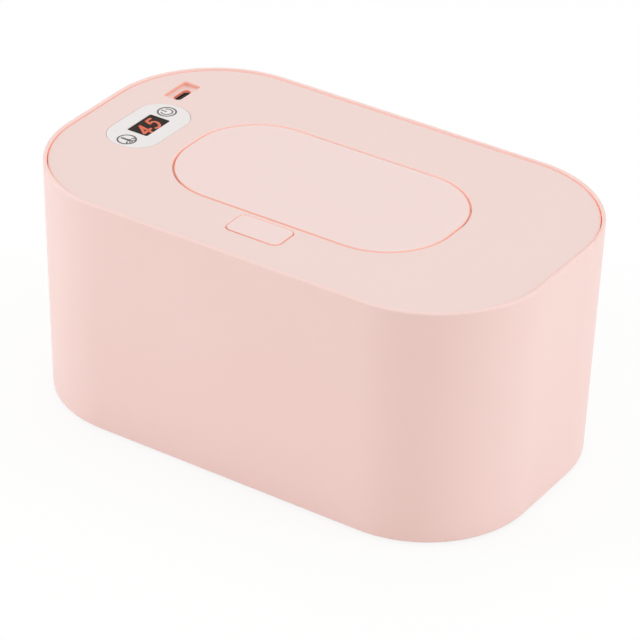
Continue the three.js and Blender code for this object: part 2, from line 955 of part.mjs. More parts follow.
function thermostat() {
  const low = trayFloorZ + fitGap;
  const can = post(thermostatRadius, thermostatX, thermostatY, low, low + thermostatHeight);
  const halfTab = thermostatRadius / 4;
  const tabs = [-1, 1].map((sign) => {
    const near = thermostatY + sign * (thermostatRadius - fitGap);
    const far = near + sign * thermostatRadius;
    const high = low + thermostatHeight;
    return block(
      thermostatX - halfTab,
      thermostatX + halfTab,
      Math.min(near, far),
      Math.max(near, far),
      high - plateThick,
      high,
    );
  });
  return joined([can, ...tabs]);
}

function heaterLead(sign) {
  const x = leadX + (sign * leadSpacing) / 2;
  const boardX = x;
  const boardY = boardFrontY + leadSpacing;
  const low = boardTop - boardThick - fitGap;
  const bend = leadSpacing;
  const curve = new THREE.CatmullRomCurve3([
    new THREE.Vector3(boardX, boardY, low),
    new THREE.Vector3(boardX, boardY, low - bend / 2),
    new THREE.Vector3(boardX, (boardY + leadY) / 2, low - bend),
    new THREE.Vector3(x, leadY, low - 2 * bend),
    new THREE.Vector3(x, leadY, filmHigh + fitGap),
  ]);
  return wire(curve.getPoints(leadSteps), leadRadius);
}

function wipeOrifice() {
  const seat = collarTop + fitGap;
  const top = seat + orificeFlange;
  const bottom = seat - orificeDepth;
  const throat = lofted(collarOutline, [
    [collarHalfY - slotHalfY - orificeWall * 2, bottom],
    [fitGap, seat - orificeDepth / 2],
    [fitGap, seat + fitGap],
  ]);
  const flange = lofted(collarOutline, [
    [-collarWall, seat],
    [-collarWall, top],
  ]);
  const steps = smallSteps * 2;
  const wideX = collarHalfX - fitGap - orificeWall;
  const wideY = collarHalfY - fitGap - orificeWall;
  const lipX = slotHalfX;
  const funnel = solidOf(skinned([
    ring(lipX, slotHalfY, slotHalfY, flapX, orificeY, bottom - overrun, steps),
    ring(lipX, slotHalfY, slotHalfY, flapX, orificeY, bottom + orificeWall, steps),
    ring(wideX, wideY, collarCorner - orificeWall, flapX, orificeY, seat - orificeDepth / 2, steps),
    ring(wideX, wideY, collarCorner - orificeWall, flapX, orificeY, top + overrun, steps),
  ]));
  return without(throat.add(flange), [funnel]);
}

function flipLid() {
  const underside = lidTop - flapThick;
  const plate = lofted(flapOutline, [
    [flapTaper, underside],
    ...roundedHigh(lidTop, flapRound, 0),
  ]);
  const arms = armSpans().map(([low, high]) => hingeArm(low, high, underside));
  const ribOuter = lofted(collarOutline, [
    [-collarWall, underside - flapRibHeight],
    [-collarWall, underside + fitGap],
  ]);
  const ribInner = lofted(collarOutline, [
    [-collarWall + flapRibWidth, underside - flapRibHeight - overrun],
    [-collarWall + flapRibWidth, underside],
  ]);
  const bore = rodAlongX(
    pinRadius + boreGap,
    flapX - flapLength / 2,
    flapX + flapLength / 2,
    hingeY,
    hingeZ,
  );
  const front = flapY - flapWidth / 2 + catchFromEdge;
  const noseTop = sliderTop - sliderThick - fitGap;
  const catchTab = drawnAlongX([
    [front, underside + fitGap],
    [front, noseTop],
    [front - noseReach, noseTop],
    [front - noseReach, noseTop - noseHeight / 2],
    [front, noseTop - noseHeight],
    [front + catchThick, noseTop - noseHeight],
    [front + catchThick, underside + fitGap],
  ], flapX - catchWidth / 2, flapX + catchWidth / 2);
  const rib = without(ribOuter, [ribInner]);
  return without(joined([plate, ...arms, rib, catchTab]), [bore]);
}

function flipLidSeal() {
  const high = lidTop - flapThick - flapRibHeight - fitGap;
  const low = collarTop + orificeFlange + 2 * fitGap;
  const outside = lofted(collarOutline, [[-collarWall, low], [-collarWall, high]]);
  const width = flapSealWidth - flapSeal;
  const inside = lofted(collarOutline, [
    [width - collarWall, low - overrun],
    [width - collarWall, high + overrun],
  ]);
  return without(outside, [inside]);
}

function hingePin() {
  const half = pocketHalfX + wellWall;
  return rodAlongX(pinRadius, flapX - half, flapX + half, hingeY, hingeZ);
}

// Torsion spring on the pin: one leg under the cover's skin, one behind the right arm
function hingeSpring() {
  const length = springPitch * springTurnsShare;
  const endX = flapX + armFromMiddle - springWire - fitGap;
  const start = new THREE.Vector3(endX - length, hingeY, hingeZ);
  const fromTurn = 0.25;
  const down = alongZ.clone().negate();
  const toTurn = fromTurn + springTurnsShare;
  const coil = helix(start, alongX, alongY, down, springRadius, springPitch, fromTurn, toTurn);
  const first = coil[0];
  const last = coil[coil.length - 1];
  const skinLeg = new THREE.Vector3(
    first.x,
    hingeY + pocketRear - fitGap,
    skinZ - fitGap - springWire / 2,
  );
  const corner = new THREE.Vector3(last.x, last.y, hingeZ - springLegDown);
  const armLeg = new THREE.Vector3(last.x + springLegAcross, last.y, hingeZ - springLegDown);
  const bendStart = corner.clone().addScaledVector(alongZ, springWire);
  const bendEnd = corner.clone().addScaledVector(alongX, springWire);
  return wire([skinLeg, ...coil, bendStart, bendEnd, armLeg], springWire / 2);
}

function releaseButton() {
  const lipHigh = skinZ - guideDepth;
  const low = lipHigh - buttonLip;
  const shell = lofted(buttonOutline, [[0, low], ...roundedHigh(lidTop, buttonRound, 0)]);
  const lip = lofted(buttonOutline, [
    [-buttonGap - fitGap, low],
    [-buttonGap - fitGap, lipHigh],
  ]);
  const hollow = lofted(buttonOutline, [
    [buttonWall, low - overrun],
    [buttonWall, lidTop - buttonSkin],
  ]);
  const legLow = sliderTop - sliderThick - legDrop;
  const slopeRun = sliderThick + legDrop + fitGap;
  const tipY = buttonY + legBack - legTip;
  const legs = [-1, 1].map((sign) => {
    const near = flapX + sign * legFromMiddle;
    const far = near + sign * legWidth;
    return drawnAlongX([
      [tipY, legLow],
      [buttonY + legBack, legLow],
      [buttonY + legBack, lidTop - buttonSkin + fitGap],
      [tipY - slopeRun, lidTop - buttonSkin + fitGap],
      [tipY - slopeRun, legLow + slopeRun],
    ], Math.min(near, far), Math.max(near, far));
  });
  const wellSide = lofted(flapOutline, [
    [-grooveGap - wellWall - fitGap, low - overrun],
    [-grooveGap - wellWall - fitGap, lipHigh + overrun],
  ]);
  const trimmedLip = lip.subtract(wellSide);
  return joined([without(shell.add(trimmedLip), [hollow]), ...legs]);
}

function latchSlider() {
  const low = sliderTop - sliderThick;
  const tip = flapY - flapWidth / 2 + catchFromEdge - tongueGap;
  const legSlope = buttonY + legBack - legTip - legDrop - fitGap * Math.SQRT2;
  const frontEdge = legSlope - sliderThick;
  const rearEdge = buttonY + legBack + latchStroke + fitGap;
  const bar = block(
    flapX - sliderWidth / 2,
    flapX + sliderWidth / 2,
    frontEdge - sliderBar,
    rearEdge + sliderBar / 2,
    low,
    sliderTop,
  );
  const tongue = block(
    flapX - tongueWidth / 2,
    flapX + tongueWidth / 2,
    rearEdge,
    tip,
    low,
    sliderTop,
  );
  const reach = legFromMiddle + legWidth + fitGap;
  const windowCut = drawnAlongX([
    [legSlope + overrun, low - overrun],
    [rearEdge, low - overrun],
    [rearEdge, sliderTop + overrun],
    [frontEdge - overrun, sliderTop + overrun],
  ], flapX - reach, flapX + reach);
  return without(joined([bar, tongue]), [windowCut]);
}

const sliderFront = buttonY + legBack - legTip - legDrop - fitGap * Math.SQRT2 - sliderThick - sliderBar;
const springStop = sliderFront - fitGap - latchSpringLength - fitGap;

function latchKeeper() {
  const low = keeperTop - keeperThick;
  const rear = buttonY + buttonWidth / 2 - guideWall;
  const plate = block(
    flapX - keeperHalfX,
    flapX + keeperHalfX,
    springStop - keeperWall,
    rear,
    low,
    keeperTop,
  );
  const wall = block(
    flapX - sliderWidth / 2,
    flapX + sliderWidth / 2,
    springStop - keeperWall,
    springStop,
    keeperTop - fitGap,
    sliderTop,
  );
  const reach = legFromMiddle + legWidth + fitGap;
  const legSlot = block(
    flapX - reach,
    flapX + reach,
    buttonY - sliderBar - latchStroke,
    buttonY + legBack + fitGap,
    low - overrun,
    keeperTop + overrun,
  );
  const coil = latchSpringRadius + latchSpringWire;
  const springSlot = block(
    flapX - coil - fitGap,
    flapX + coil + fitGap,
    springStop,
    sliderFront + fitGap,
    low - overrun,
    keeperTop + overrun,
  );
  const holes = keeperScrewPlaces.map(([x, y]) =>
    post(smallShank + boreGap, x, y, low - overrun, keeperTop + overrun));
  return without(joined([plate, wall]), [legSlot, springSlot, ...holes]);
}

function latchSpring() {
  const turns = latchSpringTurnsShare;
  const pitch = (latchSpringLength - latchSpringWire) / turns;
  const middle = sliderTop - sliderThick / 2;
  const start = new THREE.Vector3(flapX, springStop + fitGap + latchSpringWire / 2, middle);
  const points = helix(start, alongY, alongZ, alongX, latchSpringRadius, pitch, 0, turns);
  return wire(points, latchSpringWire / 2);
}

function keeperScrew(x, y) {
  const headZ = keeperTop - keeperThick - fitGap - smallHeadHeight;
  const length = smallHeadHeight + keeperThick + 3 * smallHead;
  return screw(x, y, headZ, smallHead, smallHeadHeight, smallShank - boreGap, length);
}

function displayPanel() {
  const high = lidTop + panelProud;
  const plate = lofted(panelOutline, [
    [0, high - panelThick],
    ...roundedHigh(high, panelProud * 2, 0),
  ]);
  const hole = lofted(windowOutline, [
    [-fitGap / 2, high - panelThick - overrun],
    [-fitGap / 2, high + overrun],
  ]);
  return without(plate, [hole]);
}

function displayWindow() {
  const high = lidTop + panelProud;
  return lofted(windowOutline, [[0, high - windowThick], [0, high]]);
}

function digitModule() {
  const high = lidTop + panelProud - panelThick - fitGap;
  return lofted(windowOutline, [[-digitMargin, high - digitHeight], [-digitMargin, high]]);
}

function touchSpring(sign) {
  const low = boardTop + fitGap + touchWire / 2;
  const high = lidTop + panelProud - panelThick - fitGap - touchWire / 2;
  const turns = touchTurnsShare;
  const start = new THREE.Vector3(panelX, panelY + sign * iconFromMiddle, low);
  const points = helix(start, alongZ, alongX, alongY, touchRadius, (high - low) / turns, 0, turns);
  return wire(points, touchWire / 2);
}

function socketShell() {
  const low = boardTop + fitGap;
  const outside = lofted(socketOutline, [[0, low], [0, socketTop]]);
  const inside = lofted(socketOutline, [
    [socketWall, socketTop - socketDepth],
    [socketWall, socketTop + overrun],
  ]);
  return without(outside, [inside]);
}

function socketTongue() {
  const low = socketTop - socketDepth + fitGap;
  return block(
    pocketX - tongueThick / 2,
    pocketX + tongueThick / 2,
    pocketY - tongueLength / 2,
    pocketY + tongueLength / 2,
    low,
    low + tongueHeight,
  );
}

function controlBoard() {
  const low = boardTop - boardThick;
  const outline = {
    halfX: (boardRightX - boardLeftX) / 2,
    halfY: (boardRearY - boardFrontY) / 2,
    corner: boardCorner,
    x: (boardRightX + boardLeftX) / 2,
    y: (boardRearY + boardFrontY) / 2,
    steps: smallSteps,
  };
  const wallInset = trayInset + trayWall + trayDraft + fitGap;
  const room = lofted(tubOutline, [[wallInset, low - overrun], [wallInset, boardTop + overrun]]);
  const sheet = lofted(outline, [[0, low], [0, boardTop]]).intersect(room);
  const holes = boardScrewPlaces.map(([x, y]) =>
    post(smallShank + boreGap, x, y, low - overrun, boardTop + overrun));
  return without(sheet, holes);
}

function boardScrew(x, y) {
  const headZ = boardTop - boardThick - fitGap - smallHeadHeight;
  const length = smallHeadHeight + boardThick + 2 * smallHead;
  return screw(x, y, headZ, smallHead, smallHeadHeight, smallShank - boreGap, length);
}

// Materials
function finish(color, roughness, metalness = 0) {
  return () => new THREE.MeshStandardMaterial({ color, roughness, metalness });
}

const shellPink = finish(0xf0d5cf, 0.45);
const flapPink = finish(0xf1dcd7, 0.42);
const binWhite = finish(0xf4efec, 0.5);
const panelWhite = finish(0xeae8e6, 0.4);
const smokedLens = finish(0x3f2e2b, 0.2);
const softSilicone = finish(0xf2ece8, 0.6);
const footRubber = finish(0xd9cfcb, 0.8);
const greyFoam = finish(0xcfcfcf, 0.95);
const bareAluminium = finish(0xc9cbcd, 0.35, 1);
const amberFilm = finish(0xb8742c, 0.4);
const boardGreen = finish(0x2f6b45, 0.5);
const steel = finish(0xb4b6b8, 0.3, 1);
const whiteNylon = finish(0xefeeea, 0.5);
const blackPlastic = finish(0x1c1a1a, 0.5);
const leadRed = finish(0xb23a32, 0.5);

const warmer = new THREE.Group();

function addPiece(group, name, solid, material) {
  const mesh = new THREE.Mesh(geometryOf(solid), material());
  mesh.name = name;
  group.add(mesh);
}

// One numbered piece at each place
function addSet(group, name, places, make, material) {
  places.forEach(([x, y], i) => addPiece(group, `${name}_${i + 1}`, make(x, y), material));
}

function tubGroup() {
  const group = new THREE.Group();
  addPiece(group, 'outer_tub', outerTub(), shellPink);
  addPiece(group, 'inner_bin', innerBin(), binWhite);
  addPiece(group, 'foam_wrap', foamWrap(), greyFoam);
  const footNames = ['foot_front_left', 'foot_front_right', 'foot_rear_left', 'foot_rear_right'];
  footPlaces.forEach(([x, y], i) => addPiece(group, footNames[i], foot(x, y), footRubber));
  addSet(group, 'base_screw', footPlaces, baseScrew, steel);
  return group;
}

function lidGroup() {
  const group = new THREE.Group();
  addPiece(group, 'lid_cover', lidCover(), shellPink);
  addPiece(group, 'lid_tray', lidTray(), binWhite);
  addPiece(group, 'lid_seal', lidSeal(), softSilicone);
  addSet(group, 'tray_screw', trayScrewPlaces, trayScrew, steel);
  addPiece(group, 'wipe_orifice', wipeOrifice(), softSilicone);
  addPiece(group, 'heater_film', heaterFilm(), amberFilm);
  addPiece(group, 'heating_plate', heatingPlate(), bareAluminium);
  addPiece(group, 'thermostat', thermostat(), steel);
  addPiece(group, 'heater_lead_live', heaterLead(-1), leadRed);
  addPiece(group, 'heater_lead_return', heaterLead(1), blackPlastic);
  addPiece(group, 'control_board', controlBoard(), boardGreen);
  addSet(group, 'board_screw', boardScrewPlaces, boardScrew, steel);
  addPiece(group, 'digit_module', digitModule(), blackPlastic);
  addPiece(group, 'display_panel', displayPanel(), panelWhite);
  addPiece(group, 'display_window', displayWindow(), smokedLens);
  addPiece(group, 'touch_spring_front', touchSpring(-1), steel);
  addPiece(group, 'touch_spring_rear', touchSpring(1), steel);
  addPiece(group, 'socket_shell', socketShell(), steel);
  addPiece(group, 'socket_tongue', socketTongue(), blackPlastic);
  addPiece(group, 'hinge_pin', hingePin(), steel);
  addPiece(group, 'hinge_spring', hingeSpring(), steel);
  addPiece(group, 'latch_keeper', latchKeeper(), whiteNylon);
  addSet(group, 'keeper_screw', keeperScrewPlaces, keeperScrew, steel);
  addPiece(group, 'latch_spring', latchSpring(), steel);
  return group;
}

function movingGroup() {
  const group = new THREE.Group();
  addPiece(group, 'flip_lid', flipLid(), flapPink);
  addPiece(group, 'flip_lid_seal', flipLidSeal(), softSilicone);
  addPiece(group, 'release_button', releaseButton(), flapPink);
  addPiece(group, 'latch_slider', latchSlider(), whiteNylon);
  return group;
}

warmer.add(tubGroup(), lidGroup(), movingGroup());

export default warmer;
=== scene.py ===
import math

import bmesh
import bpy
from mathutils import Matrix, Vector


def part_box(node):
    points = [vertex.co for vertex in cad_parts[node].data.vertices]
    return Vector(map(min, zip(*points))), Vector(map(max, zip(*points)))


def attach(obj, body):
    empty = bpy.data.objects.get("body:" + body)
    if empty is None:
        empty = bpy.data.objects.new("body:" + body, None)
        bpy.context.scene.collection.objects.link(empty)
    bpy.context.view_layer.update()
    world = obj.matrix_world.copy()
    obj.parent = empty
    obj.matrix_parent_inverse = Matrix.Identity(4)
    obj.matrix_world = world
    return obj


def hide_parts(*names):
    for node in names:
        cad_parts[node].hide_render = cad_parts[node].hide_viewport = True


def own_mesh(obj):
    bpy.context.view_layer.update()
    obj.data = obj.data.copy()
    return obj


# Baby wipe warmer. Sizes below are in millimetres, and the scene is in metres.
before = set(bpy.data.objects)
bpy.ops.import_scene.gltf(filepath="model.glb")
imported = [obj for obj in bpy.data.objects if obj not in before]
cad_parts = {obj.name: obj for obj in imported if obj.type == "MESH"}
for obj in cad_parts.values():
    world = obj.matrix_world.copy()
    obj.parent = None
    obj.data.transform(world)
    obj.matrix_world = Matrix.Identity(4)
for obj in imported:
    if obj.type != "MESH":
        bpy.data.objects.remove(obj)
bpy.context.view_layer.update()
mm = 0.001
print("frame loaded:", len(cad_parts), "solids")


def newPiece(name, data):
    piece = bpy.data.objects.new(name, data)
    bpy.context.scene.collection.objects.link(piece)
    return piece


# ---- camera, from the fit to the photograph
camera = {
    "place": (600.91, -933.14, 716.71),
    "right": (0.83348, 0.55209, 0.02248),
    "up": (-0.30347, 0.42339, 0.85361),
    "back": (0.46175, -0.71829, 0.52043),
    "lens": 192.85, "sensor": 36,
}


def makeCamera():
    data = bpy.data.cameras.new("camera")
    data.sensor_width, data.lens = camera["sensor"], camera["lens"]
    shooter = newPiece("camera", data)
    turn = Matrix((camera["right"], camera["up"], camera["back"])).transposed().to_4x4()
    shooter.matrix_world = Matrix.Translation(Vector(camera["place"]) * mm) @ turn
    bpy.context.scene.camera = shooter


makeCamera()


# ---- node trees
def addNode(tree, kind, settings=None, links=None):
    node = tree.nodes.new(kind)
    for key, value in (settings or {}).items():
        if isinstance(key, str) and hasattr(node, key):
            setattr(node, key, value)
        else:
            node.inputs[key].default_value = value
    for key, source in (links or {}).items():
        if isinstance(source, bpy.types.Node):  # then from its first output in use
            source = next(output for output in source.outputs if output.enabled)
        tree.links.new(source, node.inputs[key])
    return node


def linear(hexText):
    values = [int(hexText[i:i + 2], 16) / 255 for i in (0, 2, 4)]
    return [v / 12.92 if v <= 0.04045 else ((v + 0.055) / 1.055) ** 2.4 for v in values] + [1]


def emptyTree(owner):
    owner.use_nodes = True
    owner.node_tree.nodes.clear()
    return owner.node_tree


def startMaterial(name):
    material = bpy.data.materials.new(name)
    tree = emptyTree(material)
    return material, tree, addNode(tree, "ShaderNodeTexCoord").outputs["Object"]


def endMaterial(material, values, links):
    shader = addNode(material.node_tree, "ShaderNodeBsdfPrincipled", values, links)
    addNode(material.node_tree, "ShaderNodeOutputMaterial", None, {"Surface": shader})
    return material


# One pattern varies the colour of a finish, the other its gloss and its relief
def dress(tree, colour, deeper, look, tone, grain, depth):
    glossy, dull = look["roughness"]
    return {
        "Base Color": addNode(tree, "ShaderNodeMix", {
            "data_type": "RGBA", 6: linear(colour), 7: linear(deeper)}, {0: tone}),
        "Roughness": addNode(tree, "ShaderNodeMapRange", {"To Min": glossy, "To Max": dull}, {"Value": grain}),
        "Normal": addNode(tree, "ShaderNodeBump", {"Strength": look["relief"], "Distance": depth * mm},
                          {"Height": grain})}


# Painted glow on the walls of a narrow gap, standing in for light that bounces between the pale walls and
# scatters through them. At the mouth it only lifts the painted shade, deeper down it comes out salmon, and it
# fades below: "turn" and "fade" each give two heights. Towards the right it is paler, painted as if more light
# reached in from that side, where "right" gives two places along X.
def paintedGapGlow(tree, spot, look):
    along = addNode(tree, "ShaderNodeSeparateXYZ", None, {0: spot}).outputs
    ramps = {label: addNode(tree, "ShaderNodeMapRange",
                            {"From Min": look[label][0] * mm, "From Max": look[label][1] * mm},
                            {"Value": along[axis]})
             for label, axis in (("fade", "Z"), ("turn", "Z"), ("right", "X")) if label in look}
    glows = {label: [part * look[label][1] for part in linear(look[label][0])[:3]] + [1]
             for label in ("deep", "mouth", "pale") if label in look}
    glow = addNode(tree, "ShaderNodeMix", {"data_type": "RGBA", 6: glows["deep"], 7: glows["mouth"]},
                   {0: ramps["turn"]})
    if "right" in look:
        glow = addNode(tree, "ShaderNodeMix", {"data_type": "RGBA", 7: glows["pale"]},
                       {0: ramps["right"], 6: glow})
    return {"Emission Color": glow, "Emission Strength": ramps["fade"]}


# Moulded plastic or rubber: a spark-eroded mould leaves a fine pebbled grain, and the melt's flow
# leaves clouds of slightly deeper colour. The real grain of 0.1 mm is drawn coarser, so that it shows.
# Sizes are in millimetres, and the roughness runs between two values.
def mouldedPolymer(name, colour, deeper, **look):
    material, tree, spot = startMaterial(name)
    clouds, grain = [
        addNode(tree, "ShaderNodeTexNoise", {
            "Scale": 1 / (look[size] * mm), "Detail": detail, "Roughness": rough}, {"Vector": spot})
        for size, detail, rough in (("clouds", 3, 0.6), ("grain", 4, 0.65))]
    links = dress(tree, colour, deeper, look, clouds, grain, 0.06)
    # the gap materials add a painted glow to their painted shade
    if "deep" in look:
        links.update(paintedGapGlow(tree, spot, look))
    return endMaterial(material, {"IOR": look["ior"], **look.get("sockets", {})}, links)


# Metal that was rolled, drawn or plated: fine lines along one direction, stretched by the mapping
def drawnMetal(name, colour, deeper, **look):
    material, tree, spot = startMaterial(name)
    stretch = addNode(tree, "ShaderNodeMapping", {"Scale": look["stretch"]}, {"Vector": spot})
    lines = addNode(tree, "ShaderNodeTexNoise", {
        "Scale": 1 / (look["line"] * mm), "Detail": 5, "Roughness": 0.7}, {"Vector": stretch})
    return endMaterial(material, {"Metallic": 1}, dress(tree, colour, deeper, look, lines, lines, 0.02))


# ABS of the housing: pale pink, satin from the eroded mould. The lid's and the flap's copies are a little less
# red than the tub's, as painted light: the tops look paler under the lamps.
housing = {"clouds": 55, "grain": 0.7, "relief": 0.10, "roughness": (0.41, 0.51), "ior": 1.53}
tubPink = mouldedPolymer("mouldedAbsTub", "F4D2CD", "F2CEC8", **housing)
lidPink = mouldedPolymer("mouldedAbsLid", "EED2CE", "ECCFCA", **housing)
flapPink = mouldedPolymer("mouldedAbsFlap", "F0D5D2", "EED2CE", **housing)

# The same ABS on the walls of the gaps, with painted shade and painted glow: a deeper base colour and an
# emission stand in for the light bounced in the gap. Each glow is a colour and its strength.
rimGapPaintedLight = mouldedPolymer(
    "mouldedAbsAtRimPaintedLight", "ECD0C9", "E8C9C1", mouth=("FFDCD4", 0.17), deep=("FF7448", 0.24),
    turn=(98.1, 98.7), fade=(93.5, 97.5), **housing)
grooveGapPaintedLight = mouldedPolymer(
    "mouldedAbsAtGroovePaintedLight", "ECD0C9", "E8C9C1", mouth=("FFDCD2", 0.29), deep=("FF683A", 0.22),
    turn=(97.6, 98.3), fade=(93.5, 97.5), pale=("FFD0C0", 0.27), right=(10, 56), **housing)
flapGapPaintedLight = mouldedPolymer(
    "mouldedAbsAtFlapEdgePaintedLight", "E0AE9F", "DCA697", mouth=("FF8A68", 0.16), deep=("FFC8B2", 0.28),
    turn=(98.1, 98.5), fade=(93.5, 97.5), pale=("FFCCBC", 0.26), right=(5, 50), **housing)
buttonGapPaintedLight = mouldedPolymer(
    "mouldedAbsAtButtonPaintedLight", "D69280", "D28A78", mouth=("FF7A54", 0.13), deep=("FFB498", 0.24),
    turn=(98.3, 98.7), fade=(93.5, 98.6), pale=("FFC4B0", 0.22), right=(-6, 12), **housing)
pocketGapPaintedLight = mouldedPolymer(
    "mouldedAbsAtPocketPaintedLight", "E4B2A4", "E0AA9B", mouth=("FFC4B2", 0.20), deep=("FF7E5A", 0.18),
    turn=(97.5, 98.9), fade=(96, 97.5), **housing)
slotGapPaintedLight = mouldedPolymer(
    "mouldedAbsAtSlotPaintedLight", "D8907C", "D08570", mouth=("FF6A40", 0.34), deep=("FF5A30", 0.34),
    turn=(94.5, 96.9), fade=(94.5, 96), **housing)

# Polypropylene of the bin and the tray: whiter, waxier
binWhite = mouldedPolymer("mouldedPolypropylene", "F4EFEC", "EEE8E4", clouds=40, grain=0.9,
    relief=0.06, roughness=(0.36, 0.48), ior=1.49)
# Acrylic-capped panel: white, smooth to the touch, finer grain
panelWhite = mouldedPolymer("hardCoatedAcrylicWhite", "EBE3E3", "E7DFDF", clouds=12, grain=0.5,
    relief=0.03, roughness=(0.31, 0.37), ior=1.49)
# Smoked acrylic window over the digits: nearly black brown, polished
smokedLens = mouldedPolymer("polishedSmokedAcrylic", "2C1D1A", "271916", clouds=6, grain=1.2,
    relief=0.01, roughness=(0.14, 0.18), ior=1.49, sockets={"Specular IOR Level": 0.12})
# Liquid silicone rubber of the orifice and the seals: milky and soft, a little tacky to the light
silicone = mouldedPolymer("mouldedSilicone", "F1EBE7", "E9E1DC", clouds=9, grain=0.6, relief=0.12,
    roughness=(0.5, 0.6), ior=1.41,
    sockets={"Subsurface Weight": 0.15, "Subsurface Scale": 2 * mm})
# Rubber of the feet: warm grey, matte, with a coarse grip grain
footRubber = mouldedPolymer("mouldedFootRubber", "D8CDC9", "CDC0BB", clouds=4, grain=0.5,
    relief=0.5, roughness=(0.72, 0.88), ior=1.52)
# Closed-cell foam: a dull skin of small cells
greyFoam = mouldedPolymer("closedCellFoam", "D0D0CF", "B9B9B8", clouds=1.2, grain=0.8,
    relief=0.9, roughness=(0.89, 0.97), ior=1.45)
# Nylon of the latch: off-white, slightly glossy where it slides
nylon = mouldedPolymer("mouldedNylon", "EFEEE9", "E6E4DD", clouds=8, grain=0.6,
    relief=0.06, roughness=(0.32, 0.44), ior=1.53)
# Glass-filled black nylon of the connector's tongue and the digit module: dull, faintly speckled
blackPlastic = mouldedPolymer("mouldedBlackNylon", "1C1918", "26211F", clouds=3, grain=0.4,
    relief=0.2, roughness=(0.42, 0.58), ior=1.53)
# Silicone sleeve of the live heater lead: deep red, soft and satin
redLead = mouldedPolymer("siliconeWireInsulation", "B23A32", "A5332C", clouds=3, grain=0.4,
    relief=0.15, roughness=(0.44, 0.56), ior=1.41)
# Epoxy board under green solder mask, with the clouds of copper below it
boardGreen = mouldedPolymer("solderMaskedBoard", "2F6B45", "3F8257", clouds=2.5, grain=0.5,
    relief=0.15, roughness=(0.27, 0.43), ior=1.55)
# Silk-screened ink of the two touch symbols: soft grey, matte
greyInk = mouldedPolymer("silkScreenedGreyInk", "6A6564", "5A5554", clouds=1.5, grain=0.3,
    relief=0.1, roughness=(0.55, 0.65), ior=1.5)
# Rolled aluminium of the heating plate: brushed along its length
aluminium = drawnMetal("brushedAluminium", "CDCFD1", "BFC2C5", line=0.6, stretch=(0.03, 1, 1),
    relief=0.25, roughness=(0.28, 0.44))
# Zinc-plated steel of the screws, the pin and the socket's shell: bright, a little cloudy
platedSteel = drawnMetal("zincPlatedSteel", "C4C6C9", "B2B5BA", line=0.8, stretch=(1, 1, 1),
    relief=0.12, roughness=(0.22, 0.38))
# Drawn spring steel: darker, with the die's lines
springSteel = drawnMetal("drawnSpringSteel", "B9BBBE", "9EA1A6", line=0.3, stretch=(1, 1, 0.3),
    relief=0.1, roughness=(0.19, 0.35))


# Polyimide film over an etched heating element: amber, with the element's bands showing through
def makeFilm():
    look = {"film": "B8742C", "element": "8E5A2A", "track": 4.0, "share": 0.55, "roughness": 0.32, "ior": 1.7}
    material, tree, spot = startMaterial("polyimideFilm")
    bands = addNode(tree, "ShaderNodeTexWave", {"Scale": 1 / (look["track"] * mm) / 6.28, "Distortion": 0.2},
                    {"Vector": spot}).outputs["Fac"]
    step = addNode(tree, "ShaderNodeMath", {"operation": "GREATER_THAN", 1: look["share"]}, {0: bands})
    tint = addNode(tree, "ShaderNodeMix",
                   {"data_type": "RGBA", 6: linear(look["film"]), 7: linear(look["element"])}, {0: step})
    return endMaterial(material, {"Roughness": look["roughness"], "IOR": look["ior"]}, {"Base Color": tint})


# Light of the digits through the smoked window: an even orange glow with a faint grain
def makeGlow():
    look = {"glow": "DA684A", "unlit": "2A1512", "grain": 0.5, "dimmest": 0.82, "brightest": 1.08,
            "roughness": 0.3}
    material, tree, spot = startMaterial("litDigitDiffuser")
    grain = addNode(tree, "ShaderNodeTexNoise", {"Scale": 1 / (look["grain"] * mm), "Detail": 2},
                    {"Vector": spot})
    power = addNode(tree, "ShaderNodeMapRange", {"To Min": look["dimmest"], "To Max": look["brightest"]},
                    {"Value": grain})
    return endMaterial(material, {
        "Emission Color": linear(look["glow"]), "Base Color": linear(look["unlit"]),
        "Roughness": look["roughness"]}, {"Emission Strength": power})


amberFilm = makeFilm()
litDigits = makeGlow()
print("materials made:", len(bpy.data.materials))

# ---- mesh making
quarter = (0, 0.4, 0.8, 1.2, math.pi / 2)  # angles of a plain rounding
sink = 0.3  # how far a joined solid runs into the next


def meshFrom(name, points, faces):
    mesh = bpy.data.meshes.new(name)
    mesh.from_pydata([tuple(c * mm for c in p) for p in points], [], faces)
    mesh.update()
    return mesh


def lineFrom(name, points, closed=False):
    line = bpy.data.curves.new(name, "CURVE")
    line.dimensions = "3D"
    spline = line.splines.new("POLY")
    spline.points.add(len(points) - 1)
    for point, spot in zip(spline.points, points):
        point.co = (*[c * mm for c in spot], 1)
    spline.use_cyclic_u = closed
    return line


# Corner points of a rounded rectangle, counter-clockwise
def outline(base, inset, z):
    halfX, halfY = base["length"] / 2 - inset, base["width"] / 2 - inset
    radius = max(base["corner"] - inset, 0.02)
    steps = base.get("steps", 24)
    points = []
    for corner, (signX, signY) in enumerate(((1, 1), (-1, 1), (-1, -1), (1, -1))):
        for step in range(steps + 1):
            angle = (corner + step / steps) * math.pi / 2
            points.append((base.get("x", 0) + signX * (halfX - radius) + radius * math.cos(angle),
                           base.get("y", 0) + signY * (halfY - radius) + radius * math.sin(angle), z))
    return points


# Points and faces through rings with the same count of points, lowest first. The ends are filled, or joined
# where the way is closed.
def shell(rings, closed=False):
    count, size = len(rings), len(rings[0])
    faces = [] if closed else [tuple(reversed(range(size))), tuple(range((count - 1) * size, count * size))]
    for level in range(count if closed else count - 1):
        low, high = level * size, (level + 1) % count * size
        faces += [(low + i, low + (i + 1) % size, high + (i + 1) % size, high + i) for i in range(size)]
    return [p for ring in rings for p in ring], faces


def skin(rings):
    return newPiece("part", meshFrom("part", *shell(rings)))


# A solid through [inset, height] levels, lowest first
def loft(base, levels):
    return skin([outline(base, inset, z) for inset, z in levels])


def slab(base, inset, lowZ, highZ):
    return loft(base, [[inset, lowZ], [inset, highZ]])


